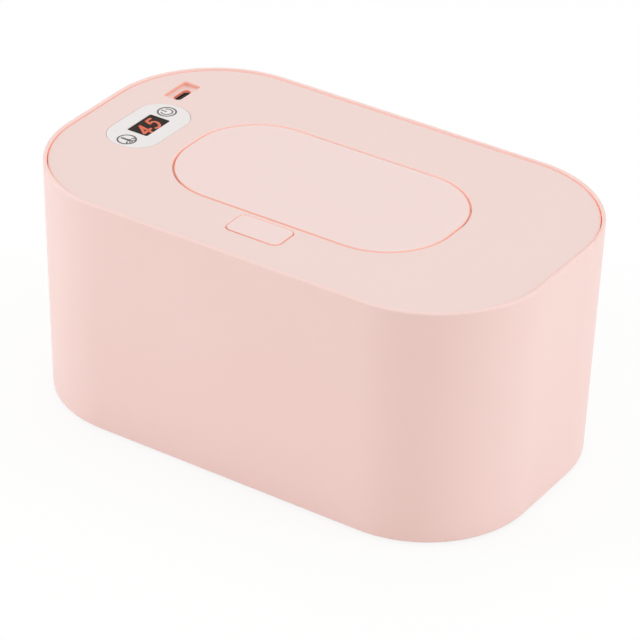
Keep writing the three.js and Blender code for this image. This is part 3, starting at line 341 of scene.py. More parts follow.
def box(lowX, highX, lowY, highY, lowZ, highZ):
    base = {"length": highX - lowX, "width": highY - lowY, "corner": 0.05, "steps": 1,
            "x": (lowX + highX) / 2, "y": (lowY + highY) / 2}
    return slab(base, 0, lowZ, highZ)


def circle(radius, x=0, y=0, steps=8):
    wide = 2 * radius
    return {"length": wide, "width": wide, "corner": radius - 0.001, "x": x, "y": y, "steps": steps}


def disc(radius, x, y, lowZ, highZ, steps=8):
    return slab(circle(radius, x, y, steps), 0, lowZ, highZ)


# Runs one mesh tool on a whole piece
def rework(piece, tool):
    work = bmesh.new()
    work.from_mesh(piece.data)
    tool(work)
    work.to_mesh(piece.data)
    work.free()
    return piece


def faceOutward(piece):
    return rework(piece, lambda work: bmesh.ops.recalc_face_normals(work, faces=work.faces))


# A [y, z] outline drawn out along X
def drawnAlongX(points, lowX, highX):
    return faceOutward(skin([[(x, y, z) for y, z in points] for x in (lowX, highX)]))


def around(steps):
    return [2 * math.pi * i / steps for i in range(steps)]


def rodAlongX(radius, lowX, highX, y, z):
    return drawnAlongX([(y + radius * math.cos(a), z + radius * math.sin(a)) for a in around(32)], lowX, highX)


def quarterTurn(steps):
    return [math.pi / 2 * i / steps for i in range(steps + 1)]


# Levels that round the lower or the upper edge of a solid
def roundLow(z, radius, inset, steps=6):
    return [[inset + radius * (1 - math.sin(a)), z + radius * (1 - math.cos(a))] for a in quarterTurn(steps)]


def roundHigh(z, radius, inset, steps=6):
    return [[i, z - h] for i, h in reversed(roundLow(0, radius, inset, steps))]


# Levels of a cutter whose mouth rounds the edge of the hole that it leaves
def flaredMouth(z, radius, inset, steps=5):
    return [*[[inset - radius * (1 - math.cos(a)), z - radius + radius * math.sin(a)]
              for a in quarterTurn(steps)], [inset - radius, z + 1]]


def plainMesh(piece):
    graph = bpy.context.evaluated_depsgraph_get()
    return bpy.data.meshes.new_from_object(piece.evaluated_get(graph))


def bake(piece):
    mesh = plainMesh(piece)
    piece.modifiers.clear()
    piece.data = mesh
    return piece


def combine(piece, others, operation):
    for other in others:
        step = piece.modifiers.new("step", "BOOLEAN")
        step.operation = operation
        step.solver = "MANIFOLD"
        step.object = other
        bake(piece)
        bpy.data.objects.remove(other)
    return piece


def add(piece, *others):
    return combine(piece, others, "UNION")


def cut(piece, *others):
    return combine(piece, others, "DIFFERENCE")


# Smooth faces with sharp edges above an angle, and normals that favour the large faces
def smooth(piece, angle=32):
    rework(piece, lambda work: bmesh.ops.remove_doubles(work, verts=work.verts, dist=0.002 * mm))
    piece.data.shade_smooth()
    piece.data.set_sharp_from_angle(angle=math.radians(angle))
    weigh = piece.modifiers.new("weigh", "WEIGHTED_NORMAL")
    weigh.keep_sharp = True
    return piece


def coat(piece, *materials):
    piece.data.materials.clear()
    for material in materials:
        piece.data.materials.append(material)


# Gives a piece its name, its finish and its body, and hides the solids that it stands for
def place(piece, name, body, materials, slot, *nodes):
    piece.name = piece.data.name = name
    coat(piece, *materials)
    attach(piece, body)
    if nodes:
        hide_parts(*nodes)
    return piece


def paint(piece, index, chosen):
    for face in piece.data.polygons:
        if chosen(face.center / mm, face.normal):
            face.material_index = index


# Reach of a solid along Z, and its middle seen from above
def heights(node):
    low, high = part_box(node)
    return low.z / mm, high.z / mm


def middle(node):
    low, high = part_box(node)
    return (low.x + high.x) / 2 / mm, (low.y + high.y) / 2 / mm


def screwNodes(kind):
    return sorted(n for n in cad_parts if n.startswith(kind + "_screw_"))


# ---- Geometry Nodes
def startTree(name, entries):
    tree = bpy.data.node_groups.new(name, "GeometryNodeTree")
    tree.interface.new_socket("Geometry", in_out="OUTPUT", socket_type="NodeSocketGeometry")
    for label, kind in {**entries, "Finish": "Material"}.items():
        tree.interface.new_socket(label, in_out="INPUT", socket_type="NodeSocket" + kind)
    return tree, addNode(tree, "NodeGroupInput").outputs


def endTree(tree, given, geometry):
    real = addNode(tree, "GeometryNodeRealizeInstances", None, {"Geometry": geometry})
    finished = addNode(tree, "GeometryNodeSetMaterial", None, {"Geometry": real, "Material": given["Finish"]})
    addNode(tree, "NodeGroupOutput", None, {"Geometry": finished})
    return tree


# A closed section swept round a rounded rectangle: walls, seals and wraps
def makeSweepTree():
    tree, given = startTree("roundTheOutline", {
        "Length": "Float", "Width": "Float", "Corner": "Float", "Corner steps": "Int",
        "Centre": "Vector", "Section": "Object"})
    path = addNode(tree, "GeometryNodeCurvePrimitiveQuadrilateral", None,
                   {"Width": given["Length"], "Height": given["Width"]})
    rounded = addNode(tree, "GeometryNodeFilletCurve", {"mode": "POLY"},
                      {"Curve": path, "Radius": given["Corner"], "Count": given["Corner steps"]})
    placed = addNode(tree, "GeometryNodeTransform", None,
                     {"Geometry": rounded, "Translation": given["Centre"]})
    section = addNode(tree, "GeometryNodeObjectInfo", None, {"Object": given["Section"]}).outputs["Geometry"]
    swept = addNode(tree, "GeometryNodeCurveToMesh", None, {"Curve": placed, "Profile Curve": section})
    return endTree(tree, given, swept)


# One master part set down at each point of a small mesh: screws and feet
def makeCopyTree():
    tree, given = startTree("onePerPlace", {"Places": "Object", "Master": "Object"})
    places, master = [addNode(tree, "GeometryNodeObjectInfo", None, {"Object": given[label]})
                      .outputs["Geometry"] for label in ("Places", "Master")]
    copies = addNode(tree, "GeometryNodeInstanceOnPoints", None, {"Points": places, "Instance": master})
    return endTree(tree, given, copies)


# A wound wire: radius, length, turns and wire size
def makeCoilTree():
    tree, given = startTree("woundWire", {
        "Radius": "Float", "Length": "Float", "Turns": "Float", "Wire": "Float"})
    spiral = addNode(tree, "GeometryNodeCurveSpiral", {"Resolution": 28},
                     {"Rotations": given["Turns"], "Start Radius": given["Radius"],
                      "End Radius": given["Radius"], "Height": given["Length"]})
    half = addNode(tree, "ShaderNodeMath", {"operation": "MULTIPLY", 1: 0.5}, {0: given["Wire"]})
    ring = addNode(tree, "GeometryNodeCurvePrimitiveCircle", {"Resolution": 10}, {"Radius": half})
    tube = addNode(tree, "GeometryNodeCurveToMesh", {"Fill Caps": True},
                   {"Curve": spiral, "Profile Curve": ring})
    return endTree(tree, given, tube)


sweepTree, copyTree, coilTree = makeSweepTree(), makeCopyTree(), makeCoilTree()


# Runs a tree on an empty mesh, keeps the plain result and removes the helpers
def grow(tree, values, helpers=()):
    piece = newPiece("part", bpy.data.meshes.new("part"))
    step = piece.modifiers.new("step", "NODES")
    step.node_group = tree
    for item in tree.interface.items_tree:
        if item.in_out == "INPUT":
            step[item.identifier] = values[item.name]
    bake(piece)
    for helper in helpers:
        bpy.data.objects.remove(helper)
    return piece


# Section points are [inset, height] pairs; the sweep wants them outward and downward
def sweep(base, points, material):
    section = newPiece("section", lineFrom("section", [(-inset, -z, 0) for inset, z in points], True))
    return faceOutward(grow(sweepTree, {
        "Length": base["length"] * mm, "Width": base["width"] * mm, "Corner": base["corner"] * mm,
        "Corner steps": base.get("steps", 24), "Section": section, "Finish": material,
        "Centre": (base.get("x", 0) * mm, base.get("y", 0) * mm, 0)}, [section]))


def copyTo(master, places, material):
    marks = newPiece("marks", meshFrom("marks", places, []))
    return grow(copyTree, {"Places": marks, "Master": master, "Finish": material}, [marks, master])


# ---- tub
tub = {
    "length": 210, "width": 125.7, "corner": 46.7, "foot": 1.0, "rim": 99.6,
    "draft": 2.2, "wall": 2.2, "floor": 2.6, "floorEdge": 10, "wallFoot": 12, "footRound": 2,
    "baseRound": 1.2, "rimRound": 0.9, "rimWall": 1.5, "ledge": 2.5, "ledgeZ": 88.2,
    "lip": ((0, 0.3), (0.12, 0.08), (0.3, 0)),  # outward and down, from the rim's inner corner
    "bossRadius": 5.5, "bossHeight": 4,
    "holes": ((7.5, 2.4), (3.3, 4.8), (1.8, 9)),  # radius and top of the foot's, head's and shank's holes
}
footPlaces = [(x, y) for y in (-35.85, 35.85) for x in (-74, 74)]


# How far the drafted wall has moved in at a height
def lean(z):
    return tub["draft"] * (tub["rim"] - z) / (tub["rim"] - tub["foot"])


def makeTub():
    low, top, floorTop = tub["foot"], tub["rim"], tub["foot"] + tub["floor"]
    ledge = tub["rimWall"] + tub["ledge"]
    ledgeFoot = tub["ledgeZ"] - tub["ledge"]
    footInset = tub["wall"] + lean(floorTop)
    inner = [
        [tub["wallFoot"], low], [tub["wallFoot"], floorTop],
        *[[footInset + tub["footRound"] * (1 - math.sin(a)), floorTop + tub["footRound"] * (1 - math.cos(a))]
          for a in quarter],
        [tub["wall"] + lean(ledgeFoot), ledgeFoot - (ledge - tub["wall"])],
        [ledge, ledgeFoot], [ledge, tub["ledgeZ"]], [tub["rimWall"], tub["ledgeZ"]]]
    lip = [[tub["rimWall"] - outward, top - down] for outward, down in tub["lip"]]
    outer = list(reversed([*roundLow(low, tub["baseRound"], tub["draft"], 8),
                           *roundHigh(top, tub["rimRound"], 0, 8)]))
    wall = sweep(tub, [*inner, *lip, *outer], tubPink)
    add(wall, slab(tub, tub["floorEdge"], low, floorTop),
        *[disc(tub["bossRadius"], x, y, floorTop - sink, floorTop + tub["bossHeight"]) for x, y in footPlaces])
    cut(wall, *[disc(radius, x, y, 0, high) for x, y in footPlaces for radius, high in tub["holes"]])
    place(smooth(wall), "tubShell", "tub", [tubPink, rimGapPaintedLight], "shell_pink", "outer_tub")
    # the rim's inner wall faces the lid across a gap of 0.4 mm, and gets the painted shade and glow of the gap
    paint(wall, 1, lambda c, n: (
        tub["ledgeZ"] < c.z < top - 0.15 and abs(n.z) < 0.5 and n.x * c.x + n.y * c.y < 0))


makeTub()
print("tub done")

# ---- feet, each a rubber pad with two grip rings under it
foot = {"radius": 7.2, "height": 2.1, "round": 0.6, "rings": (2.4, 4.6), "ringHalf": 0.5, "ringDepth": 0.25,
        "sides": 40}


def makeFeet():
    radius, half, depth = foot["radius"], foot["ringHalf"], foot["ringDepth"]
    profile = []
    for at in foot["rings"]:
        profile += [(at - half, 0), (at - half / 2, depth), (at + half / 2, depth), (at + half, 0)]
    profile += [(radius - foot["round"] * math.cos(a), foot["round"] * (1 - math.sin(a)))
                for a in reversed(quarter)]
    profile.append((radius, foot["height"]))
    master = skin([[(r * math.cos(a), r * math.sin(a), z) for a in around(foot["sides"])] for r, z in profile])
    feet = smooth(copyTo(master, [(x, y, 0) for x, y in footPlaces], footRubber))
    place(feet, "rubberFeet", "tub", [footRubber], "foot_rubber",
          "foot_front_left", "foot_front_right", "foot_rear_left", "foot_rear_right")


makeFeet()

# ---- screws: a round head with a cross recess, and a shank
large = {"head": 3, "headHeight": 2, "shank": 1.4}
small = {"head": 1.9, "headHeight": 1.2, "shank": 0.9}
screws = {"base": ("tub", large), "tray": ("lid", large), "board": ("lid", small), "keeper": ("lid", small)}
cross = {"reach": 0.62, "width": 0.14, "depth": 0.6}  # shares of the head's radius and height


def makeScrews(kind, body, size):
    nodes = screwNodes(kind)
    low, high = heights(nodes[0])
    head, headHeight = size["head"], size["headHeight"]
    screw = loft(circle(head), [*roundLow(0, 0.4 * headHeight, 0, 4), [0, headHeight]])
    add(screw, disc(size["shank"], 0, 0, headHeight - 0.2, high - low, 5))
    arm, slot, depth = head * cross["reach"], head * cross["width"], headHeight * cross["depth"]
    cut(screw, box(-arm, arm, -slot, slot, -1, depth), box(-slot, slot, -arm, arm, -1, depth))
    made = smooth(copyTo(screw, [(*middle(n), heights(n)[0]) for n in nodes], platedSteel))
    place(made, kind + "Screws", body, [platedSteel], "steel", *nodes)


for kind, (body, size) in screws.items():
    makeScrews(kind, body, size)
print("feet and screws done")

# ---- inner bin and foam wrap
wipeBin = {"mouth": 8.3, "wall": 1.8, "draft": 2.4, "floorRound": 6, "low": 13.6, "floor": 2, "high": 90.5,
           "mouthRound": 0.6, "flange": 2, "flangeInset": 1.9, "flangeRound": 0.4,
           "boss": (3.6, 7.9), "pilot": (1.5, 3.6, 14.4)}  # radius, then lowest and highest
foam = {"inner": 5.1, "outer": 2.5, "low": 3.9, "high": 81.7}


def makeBin():
    high, low, mouth = wipeBin["high"], wipeBin["low"], wipeBin["mouth"]
    outer, edge, floorTop = mouth - wipeBin["wall"], wipeBin["flangeInset"], low + wipeBin["floor"]
    bossRadius, bossLow = wipeBin["boss"]
    pilotRadius, pilotLow, pilotHigh = wipeBin["pilot"]
    body = loft(tub, [*roundLow(low, wipeBin["floorRound"], outer + wipeBin["draft"], 8), [outer, high - 0.5]])
    add(body, loft(tub, [[edge, high - wipeBin["flange"]], *roundHigh(high, wipeBin["flangeRound"], edge, 4)]),
        *[disc(bossRadius, x, y, bossLow, floorTop) for x, y in footPlaces])
    cut(body,
        loft(tub, [*roundLow(floorTop, wipeBin["floorRound"] - wipeBin["wall"], mouth + wipeBin["draft"], 8),
                   *flaredMouth(high, wipeBin["mouthRound"], mouth)]),
        *[disc(pilotRadius, x, y, pilotLow, pilotHigh, 5) for x, y in footPlaces])
    place(smooth(body), "wipeBin", "tub", [binWhite], "bin_white", "inner_bin")


def makeFoam():
    ends = [("inner", "low"), ("inner", "high"), ("outer", "high"), ("outer", "low")]
    points = [[foam[side] + lean(foam[end]), foam[end]] for side, end in ends]
    place(smooth(sweep(tub, points, greyFoam)), "foamWrap", "tub", [greyFoam], "grey_foam", "foam_wrap")


makeBin()
makeFoam()
print("bin and foam done")

# ---- lid cover
lidTop = 99.0
lid = {
    "skin": 2.2, "edge": 1.9, "round": 0.5, "skirt": 4.6, "skirtWall": 1.8, "wellZ": 86.5, "wellWall": 1.6,
    "wellRound": 1.5, "groove": 0.8, "ledge": 3.0, "collarTop": 92.4, "collarWall": 1.6, "mouthRound": 0.35,
    "fit": 0.12,  # gap round the panel and the socket
    # radius and lower end of the screw bosses and of their pilot holes
    "bosses": {"tray": (3.2, 92.5), "board": (2.5, 90.3), "keeper": (2.5, 90.2)},
    "pilots": {"tray": (1.5, 91), "board": (1, 89), "keeper": (1, 89)},
    "ribs": {"x": (58.15, 93.4), "y": (-16.525, 14.525), "half": 0.7, "deep": 5},
    "catchSlot": (-3.2, 4.2, -32.85, -1), "sliderSlot": (-3.4, 4.4, -35.9, -29.05, 89.9, 91.9),
    "touchHole": {"radius": 3.4, "y": (-13.6, 13.6), "deep": 2.4}, "digitHole": {"off": 0.7, "deep": 2.2},
    "shadePaintedFrom": {"groove": 96, "slot": 93},  # lowest places of the walls with painted shade and glow
}
flap = {"length": 115.3, "width": 62.1, "corner": 27.2, "x": 0.5, "y": -1.0, "thick": 2.6, "round": 0.8,
        "taper": 1, "rib": 1.2}
collar = {"length": 68, "width": 25, "corner": 11.5, "x": 0.5, "y": -3.5, "steps": 16}
button = {"length": 23.5, "width": 12.8, "corner": 3, "x": 0.5, "y": -41, "steps": 8, "gap": 0.4, "low": 94.4,
          "round": 0.5, "wall": 1.4, "roof": 1.8, "lip": 0.7, "lipHigh": 0.8, "lipGap": 2.7,
          "shadePaintedFrom": 97.5, "holeLow": 90}
panel = {"length": 22.4, "width": 38, "corner": 10.5, "x": -78.8, "y": 0, "steps": 20, "proud": 0.15,
         "thick": 1.3, "round": 0.3}
window = {"length": 9.1, "width": 15, "corner": 0.6, "x": -78.8, "y": 0, "steps": 5, "gap": 0.15, "thick": 1,
          "round": 0.08}
pocket = {"length": 7.6, "width": 14.3, "corner": 1, "x": -85.2, "y": 31, "steps": 5, "depth": 2, "lip": 0.7}
socket = {"length": 3.2, "width": 8.94, "corner": 1.6, "x": -85.2, "y": 31, "steps": 10, "sunk": 0.8,
          "wall": 0.3, "inside": 5.6}
hinge = {"x": 0.5, "y": 35.05, "z": 94.9, "pin": 0.75, "pinHalf": 27.6, "bore": 0.85, "barrel": 1.6,
         "inner": 6.2, "thick": 1.8, "stem": 0.8, "arms": ((-19.5, -11.5), (12.5, 20.5)),
         "halfX": 26, "rear": 4.5, "boreEnds": (-57, 58),
         "front": (8, 8.4)}  # reach of the hinge's housing and of the room in it
panelTop = lidTop + panel["proud"]
centres = {kind: [middle(n) for n in screwNodes(kind)] for kind in lid["bosses"]}


def hingeBore():
    return rodAlongX(hinge["bore"], *hinge["boreEnds"], hinge["y"], hinge["z"])


def posts(sizes, high, steps=8):
    return [disc(radius, x, y, low, high, steps)
            for kind, (radius, low) in sizes.items() for x, y in centres[kind]]


def makeCover():
    skinZ, wellZ, wall = lidTop - lid["skin"], lid["wellZ"], lid["wellWall"]
    edge, low, groove = lid["edge"], lidTop - lid["skirt"], lid["groove"]
    joined, reach, wellFoot = skinZ + sink, -groove - wall, wellZ - wall
    ribs, touch, digitHole, paintedLows, fit = [
        lid[key] for key in ("ribs", "touchHole", "digitHole", "shadePaintedFrom", "fit")]
    pocketFloor = lidTop - pocket["depth"]
    left, right, rear = hinge["x"] - hinge["halfX"], hinge["x"] + hinge["halfX"], hinge["y"] + hinge["rear"]
    housing, room = hinge["front"]
    cover = loft(tub, [[edge, low], *roundHigh(lidTop, lid["round"], edge)])
    cut(cover, slab(tub, edge + lid["skirtWall"], low - 1, skinZ))
    # how far the walls round the button, the panel and the pocket stand off, and how deep they hang
    walls = ((button, 1.7, 1.3), (panel, 1.2, 1.2), (pocket, 1.4, 1.2))
    add(cover,
        loft(flap, [[reach + 1.5, wellFoot], [reach + 0.4, wellFoot + 0.4], [reach, wellFoot + 1.5],
                    [reach, joined]]),
        box(left - wall, right + wall, hinge["y"] - housing, rear + wall, wellFoot, joined),
        *[slab(base, -off, skinZ - deep, joined) for base, off, deep in walls],
        *posts(lid["bosses"], joined),
        *[box(*ribs["x"], y - ribs["half"], y + ribs["half"], skinZ - ribs["deep"], joined)
          for y in ribs["y"]])
    inner = lid["ledge"] - groove
    cut(cover,
        loft(flap, [[-groove, lidTop - flap["thick"] - sink],
                    *flaredMouth(lidTop, lid["mouthRound"], -groove)]),
        loft(flap, [*roundLow(wellZ, lid["wellRound"], inner), [inner, lidTop]]),
        box(left, right, hinge["y"] - room, rear, wellZ, skinZ))
    add(cover, loft(collar, [[-lid["collarWall"], wellZ - sink],
                             *roundHigh(lid["collarTop"], 0.3, -lid["collarWall"], 3)]))
    cut(cover,
        hingeBore(),
        slab(collar, 0, wellFoot - 1, lid["collarTop"] + 1),
        loft(button, [[-button["gap"], button["holeLow"]], *flaredMouth(lidTop, 0.3, -button["gap"])]),
        slab(panel, -fit, panelTop - panel["thick"] - sink, lidTop + 1),
        slab(window, -digitHole["off"], skinZ - digitHole["deep"], lidTop),
        *[disc(touch["radius"], panel["x"], y, skinZ - touch["deep"], lidTop) for y in touch["y"]],
        loft(pocket, [[0.25, pocketFloor], [0, pocketFloor + 0.25], *flaredMouth(lidTop, pocket["lip"], 0)]),
        loft(socket, [[-fit, lidTop - 5], *flaredMouth(pocketFloor, 0.1, -fit, 3)]),
        box(*lid["catchSlot"], wellZ, lidTop),
        box(*lid["sliderSlot"]),
        *posts(lid["pilots"], skinZ, 5))
    place(smooth(cover), "lidCover", "lid", [lidPink, grooveGapPaintedLight, pocketGapPaintedLight, slotGapPaintedLight, rimGapPaintedLight],
          "shell_pink", "lid_cover")

    # steep faces close to an outline: the walls of the groove, the button's hole, the pocket and the slot
    def nearOutline(base, gap, low, high=lidTop - 0.12):
        def chosen(c, n):
            dx = abs(c.x - base["x"]) - base["length"] / 2 - gap
            dy = abs(c.y - base["y"]) - base["width"] / 2 - gap
            return low < c.z < high and abs(n.z) < 0.6 and dx < 0.1 and dy < 0.1
        return chosen

    # steep faces on the lid's outer edge
    def atEdge(c, n):
        inset = edge + 0.8
        corner = tub["corner"] - inset
        dx = max(abs(c.x) - tub["length"] / 2 + inset + corner, 0)
        dy = max(abs(c.y) - tub["width"] / 2 + inset + corner, 0)
        return (low < c.z < lidTop - 0.1 and abs(n.z) < 0.7 and n.x * c.x + n.y * c.y > 0
                and math.hypot(dx, dy) > corner)

    # the walls of the gaps and the lid's outer edge get the painted shade and glow of their gap materials
    paint(cover, 1, nearOutline(flap, groove, paintedLows["groove"]))
    paint(cover, 1, nearOutline(button, button["gap"], button["holeLow"]))
    paint(cover, 2, nearOutline(pocket, 0.5, pocketFloor + 0.05))
    paint(cover, 3, nearOutline(socket, 0.3, paintedLows["slot"], pocketFloor - 0.02))
    paint(cover, 4, atEdge)


makeCover()
print("lid cover done")

# ---- flip lid with its hooked arms, its catch and its seal
catch = {"x": (-2.5, 3.5), "back": 1.55, "nose": 1.5, "thick": 1.6, "tip": 0.8, "noseTop": 89.9}
flapSeal = ((0.3, 94.35), (0.3, 94.9), (-1.6, 94.9), (-1.6, 94.35), (-1.3, 94.2), (0.0, 94.2))


# Down from the lid, round under the cover's rear edge and up to the pin
def hookPoints():
    y, z, inner, stem = hinge["y"], hinge["z"], hinge["inner"], hinge["stem"]
    outer, top = inner + hinge["thick"], lidTop - flap["thick"] + sink
    turn = [math.pi + a for a in quarterTurn(20)]
    points = [(y + outer * math.cos(a), z + outer * math.sin(a)) for a in turn]
    points += [(y + stem, z - outer), (y + stem, z), (y - stem, z)]
    points += [(y + inner * math.cos(a), z + inner * math.sin(a))
               for a in reversed(turn) if inner * math.cos(a) < -stem]
    return points + [(y - inner, top), (y - outer, top)]


def catchPoints(under):
    front, top = flap["y"] - flap["width"] / 2 + catch["back"], catch["noseTop"]
    low = top - catch["thick"]
    return [(front, under + sink), (front, top), (front - catch["nose"], top),
            (front - catch["nose"], top - catch["tip"]), (front, low), (front + catch["thick"], low),
            (front + catch["thick"], under + sink)]


def makeFlap():
    under = lidTop - flap["thick"]
    lidPlate = loft(flap, [[flap["taper"], under], *roundHigh(lidTop, flap["round"], 0, 8)])
    arms = []
    for low, high in hinge["arms"]:
        arms += [drawnAlongX(hookPoints(), low, high),
                 rodAlongX(hinge["barrel"], low, high, hinge["y"], hinge["z"])]
    rib = slab(collar, -lid["collarWall"], under - flap["rib"], under + sink)
    cut(rib, slab(collar, 0, under - flap["rib"] - 1, under))
    add(lidPlate, *arms, rib, drawnAlongX(catchPoints(under), *catch["x"]))
    cut(lidPlate, hingeBore())
    place(smooth(lidPlate), "flipLid", "flip_lid", [flapPink, flapGapPaintedLight], "flap_pink", "flip_lid")
    # the flap's edge gets painted shade and glow where it faces the groove
    paint(lidPlate, 1, lambda c, n: under < c.z < lidTop - 0.05 and abs(n.z) < 0.65)


def makeFlapSeal():
    place(smooth(sweep(collar, flapSeal, silicone)), "flipLidSeal", "flip_lid", [silicone],
          "silicone", "flip_lid_seal")


makeFlap()
makeFlapSeal()
print("flip lid done")

# ---- hinge pin and torsion spring; the leg gives steps along the pin and down from it
spring = {"turns": 4.75, "pitch": 0.95, "radius": 1.35, "wire": 0.25, "endX": 11.7, "rest": (4.2, 96.25),
          "leg": ((0, 4.5), (0.15, 4.85), (0.5, 5), (3, 5))}


def tubeAlong(points, radius, name, material, slot, node):
    line = lineFrom(name, points)
    line.bevel_depth = radius * mm
    line.bevel_resolution = 3
    line.use_fill_caps = True
    tube = newPiece(name, line)
    mesh = plainMesh(tube)
    bpy.data.objects.remove(tube)
    place(smooth(newPiece(name, mesh), 50), name, "lid", [material], slot, node)


def makeHinge():
    y, z, middleX, half = hinge["y"], hinge["z"], hinge["x"], hinge["pinHalf"]
    pin = rodAlongX(hinge["pin"], middleX - half, middleX + half, y, z)
    place(smooth(pin), "hingePin", "lid", [platedSteel], "steel", "hinge_pin")
    startX = spring["endX"] - spring["pitch"] * spring["turns"]
    points = [(startX, y + spring["rest"][0], spring["rest"][1])]
    for i in range(int(spring["turns"] * 32) + 1):
        turn = i / 32
        angle = 2 * math.pi * (0.25 + turn)
        points.append((startX + spring["pitch"] * turn, y + spring["radius"] * math.cos(angle),
                       z - spring["radius"] * math.sin(angle)))
    endX, endY = points[-1][:2]
    points += [(endX + along, endY, z - down) for along, down in spring["leg"]]
    tubeAlong(points, spring["wire"], "hingeSpring", springSteel, "steel", "hinge_spring")


makeHinge()

# ---- release button, hollow below, with a lip and two wedge legs
wedge = {"front": -40.4, "rear": -38, "low": 88.7, "high": 97.5, "slope": 3.2,
         "legs": ((-6.5, -3.5), (4.5, 7.5))}


def makeButton():
    low, tip, slope = button["low"], wedge["front"], wedge["slope"]
    cap = loft(button, [[0, low], *roundHigh(lidTop, button["round"], 0)])
    lip = slab(button, -button["lip"], low, low + button["lipHigh"])
    cut(lip, slab(flap, -button["lipGap"], low - 1, low + 2))
    add(cap, lip)
    cut(cap, slab(button, button["wall"], low - 1, lidTop - button["roof"]))
    leg = [(tip, wedge["low"]), (wedge["rear"], wedge["low"]), (wedge["rear"], wedge["high"]),
           (tip - slope, wedge["high"]), (tip - slope, wedge["low"] + slope)]
    add(cap, *[drawnAlongX(leg, lowX, highX) for lowX, highX in wedge["legs"]])
    place(smooth(cap), "releaseButton", "release_button", [flapPink, buttonGapPaintedLight], "flap_pink", "release_button")
    # the cap's edge gets painted shade and glow where it faces its gap
    paint(cap, 1, lambda c, n: button["shadePaintedFrom"] < c.z < lidTop - 0.02 and abs(n.z) < 0.88)


makeButton()


# ---- display panel, its window, the digits and the two symbols
def makePanel():
    face = loft(panel, [[0, panelTop - panel["thick"]], *roundHigh(panelTop, panel["round"], 0)])
    cut(face, slab(window, -window["gap"], panelTop - 3, panelTop + 1))
    place(smooth(face), "displayPanel", "lid", [panelWhite], "panel_white", "display_panel")
    lens = loft(window, [[0, panelTop - window["thick"]], *roundHigh(panelTop, window["round"], 0, 3)])
    place(smooth(lens), "displayWindow", "lid", [smokedLens], "smoked_lens", "display_window")


strokeLow = panelTop - 0.1  # the strokes' lower side, just inside the panel


# A flat stroke of even width along [right, up] points of a symbol, as a thin closed prism. On the lid the
# symbols' right runs along +Y, and their up along -X.
def stroke(points, width, high, origin, closed=False):
    rings = []
    for i, (u, v) in enumerate(points):
        before = points[i - 1 if closed else max(i - 1, 0)]
        after = points[(i + 1) % len(points) if closed else min(i + 1, len(points) - 1)]
        run = Vector((after[0] - before[0], after[1] - before[1])).normalized()
        side = Vector((-run.y, run.x)) * width / 2
        rings.append([(origin[0] - (v + end * side.y), origin[1] + (u + end * side.x), z)
                      for end, z in ((1, strokeLow), (-1, strokeLow), (-1, high), (1, high))])
    return shell(rings, closed)


# The round end of a stroke, a hair higher than it
def dot(radius, high, at, origin):
    return shell([[(origin[0] - at[1] - radius * math.sin(a), origin[1] + at[0] + radius * math.cos(a), z)
                   for a in around(16)] for z in (strokeLow, high + 0.001)])


def gather(strokes, name):
    points, faces = [], []
    for some, few in strokes:
        faces += [tuple(i + len(points) for i in face) for face in few]
        points += some
    return faceOutward(newPiece(name, meshFrom(name, points, faces)))


# A smooth line through the points
def smoothLine(points, steps=6):
    line = []
    for i in range(len(points) - 1):
        four = points[max(i - 1, 0)], points[i], points[i + 1], points[min(i + 2, len(points) - 1)]
        for t in [k / steps for k in range(steps)]:
            line.append(tuple(0.5 * (2 * b + (c - a) * t + (2 * a - 5 * b + 4 * c - d) * t * t
                                     + (3 * b - a - 3 * c + d) * t ** 3) for a, b, c, d in zip(*four)))
    return [*line, tuple(points[-1])]


def arc(radius, fromDegrees, toDegrees, steps):
    turn = math.radians(toDegrees - fromDegrees)
    angles = [math.radians(fromDegrees) + turn * i / steps for i in range(steps + 1)]
    return [(radius * math.cos(a), radius * math.sin(a)) for a in angles]


# Two slanted numerals, each a few strokes of [right, up] points; the bowl of the five is curved
digits = {
    "stroke": 1.15, "centre": (-78.1, -0.15), "proud": 0.02,
    "straight": [[(-2.3, 3.0), (-6.2, -1.9), (-1.7, -1.6)], [(-2.3, 3.0), (-3.75, -3.5)],
                 [(4.75, 3.35), (2.2, 3.35)], [(2.2, 3.35), (1.3, 0.95)]],
    "curved": [[(1.3, 0.95), (2.6, 1.25), (3.7, 0.55), (3.75, -0.9), (2.7, -2.55), (1.15, -3.3),
                (-0.1, -2.85)]],
}


def makeDigits():
    width, centre, high = digits["stroke"], digits["centre"], panelTop + digits["proud"]
    strokes = []
    for line in digits["straight"]:
        strokes += [stroke(line[i:i + 2], width, high, centre) for i in range(len(line) - 1)]
        strokes += [dot(width / 2, high, end, centre) for end in line]
    for line in digits["curved"]:
        strokes.append(stroke(smoothLine(line), width, high, centre))
        strokes += [dot(width / 2, high, end, centre) for end in (line[0], line[-1])]
    place(gather(strokes, "digits"), "litDigits", "lid", [litDigits], "smoked_lens")


# The power sign, and a thermometer in waves for the warmth
symbols = {
    "proud": 0.015, "ring": 3.55, "line": 0.7, "fine": 0.58,
    "power": (-79.5, 12.85), "arc": 2.2, "open": 80, "bar": 2.7,
    "warmth": (-78.8, -14.1), "stem": 1.1, "stemEnds": (-0.9, 2.2), "bulb": 0.95, "bulbAt": -1.1,
    # start, length, height, swing, cycles and steps of each wave
    "waves": ((-1.35, -1.3, -1.5, 0.25, 1, 10), (1.35, 1.3, -1.5, 0.25, 1, 10), (-1.6, 3.2, -2.5, 0.2, 2, 16)),
}


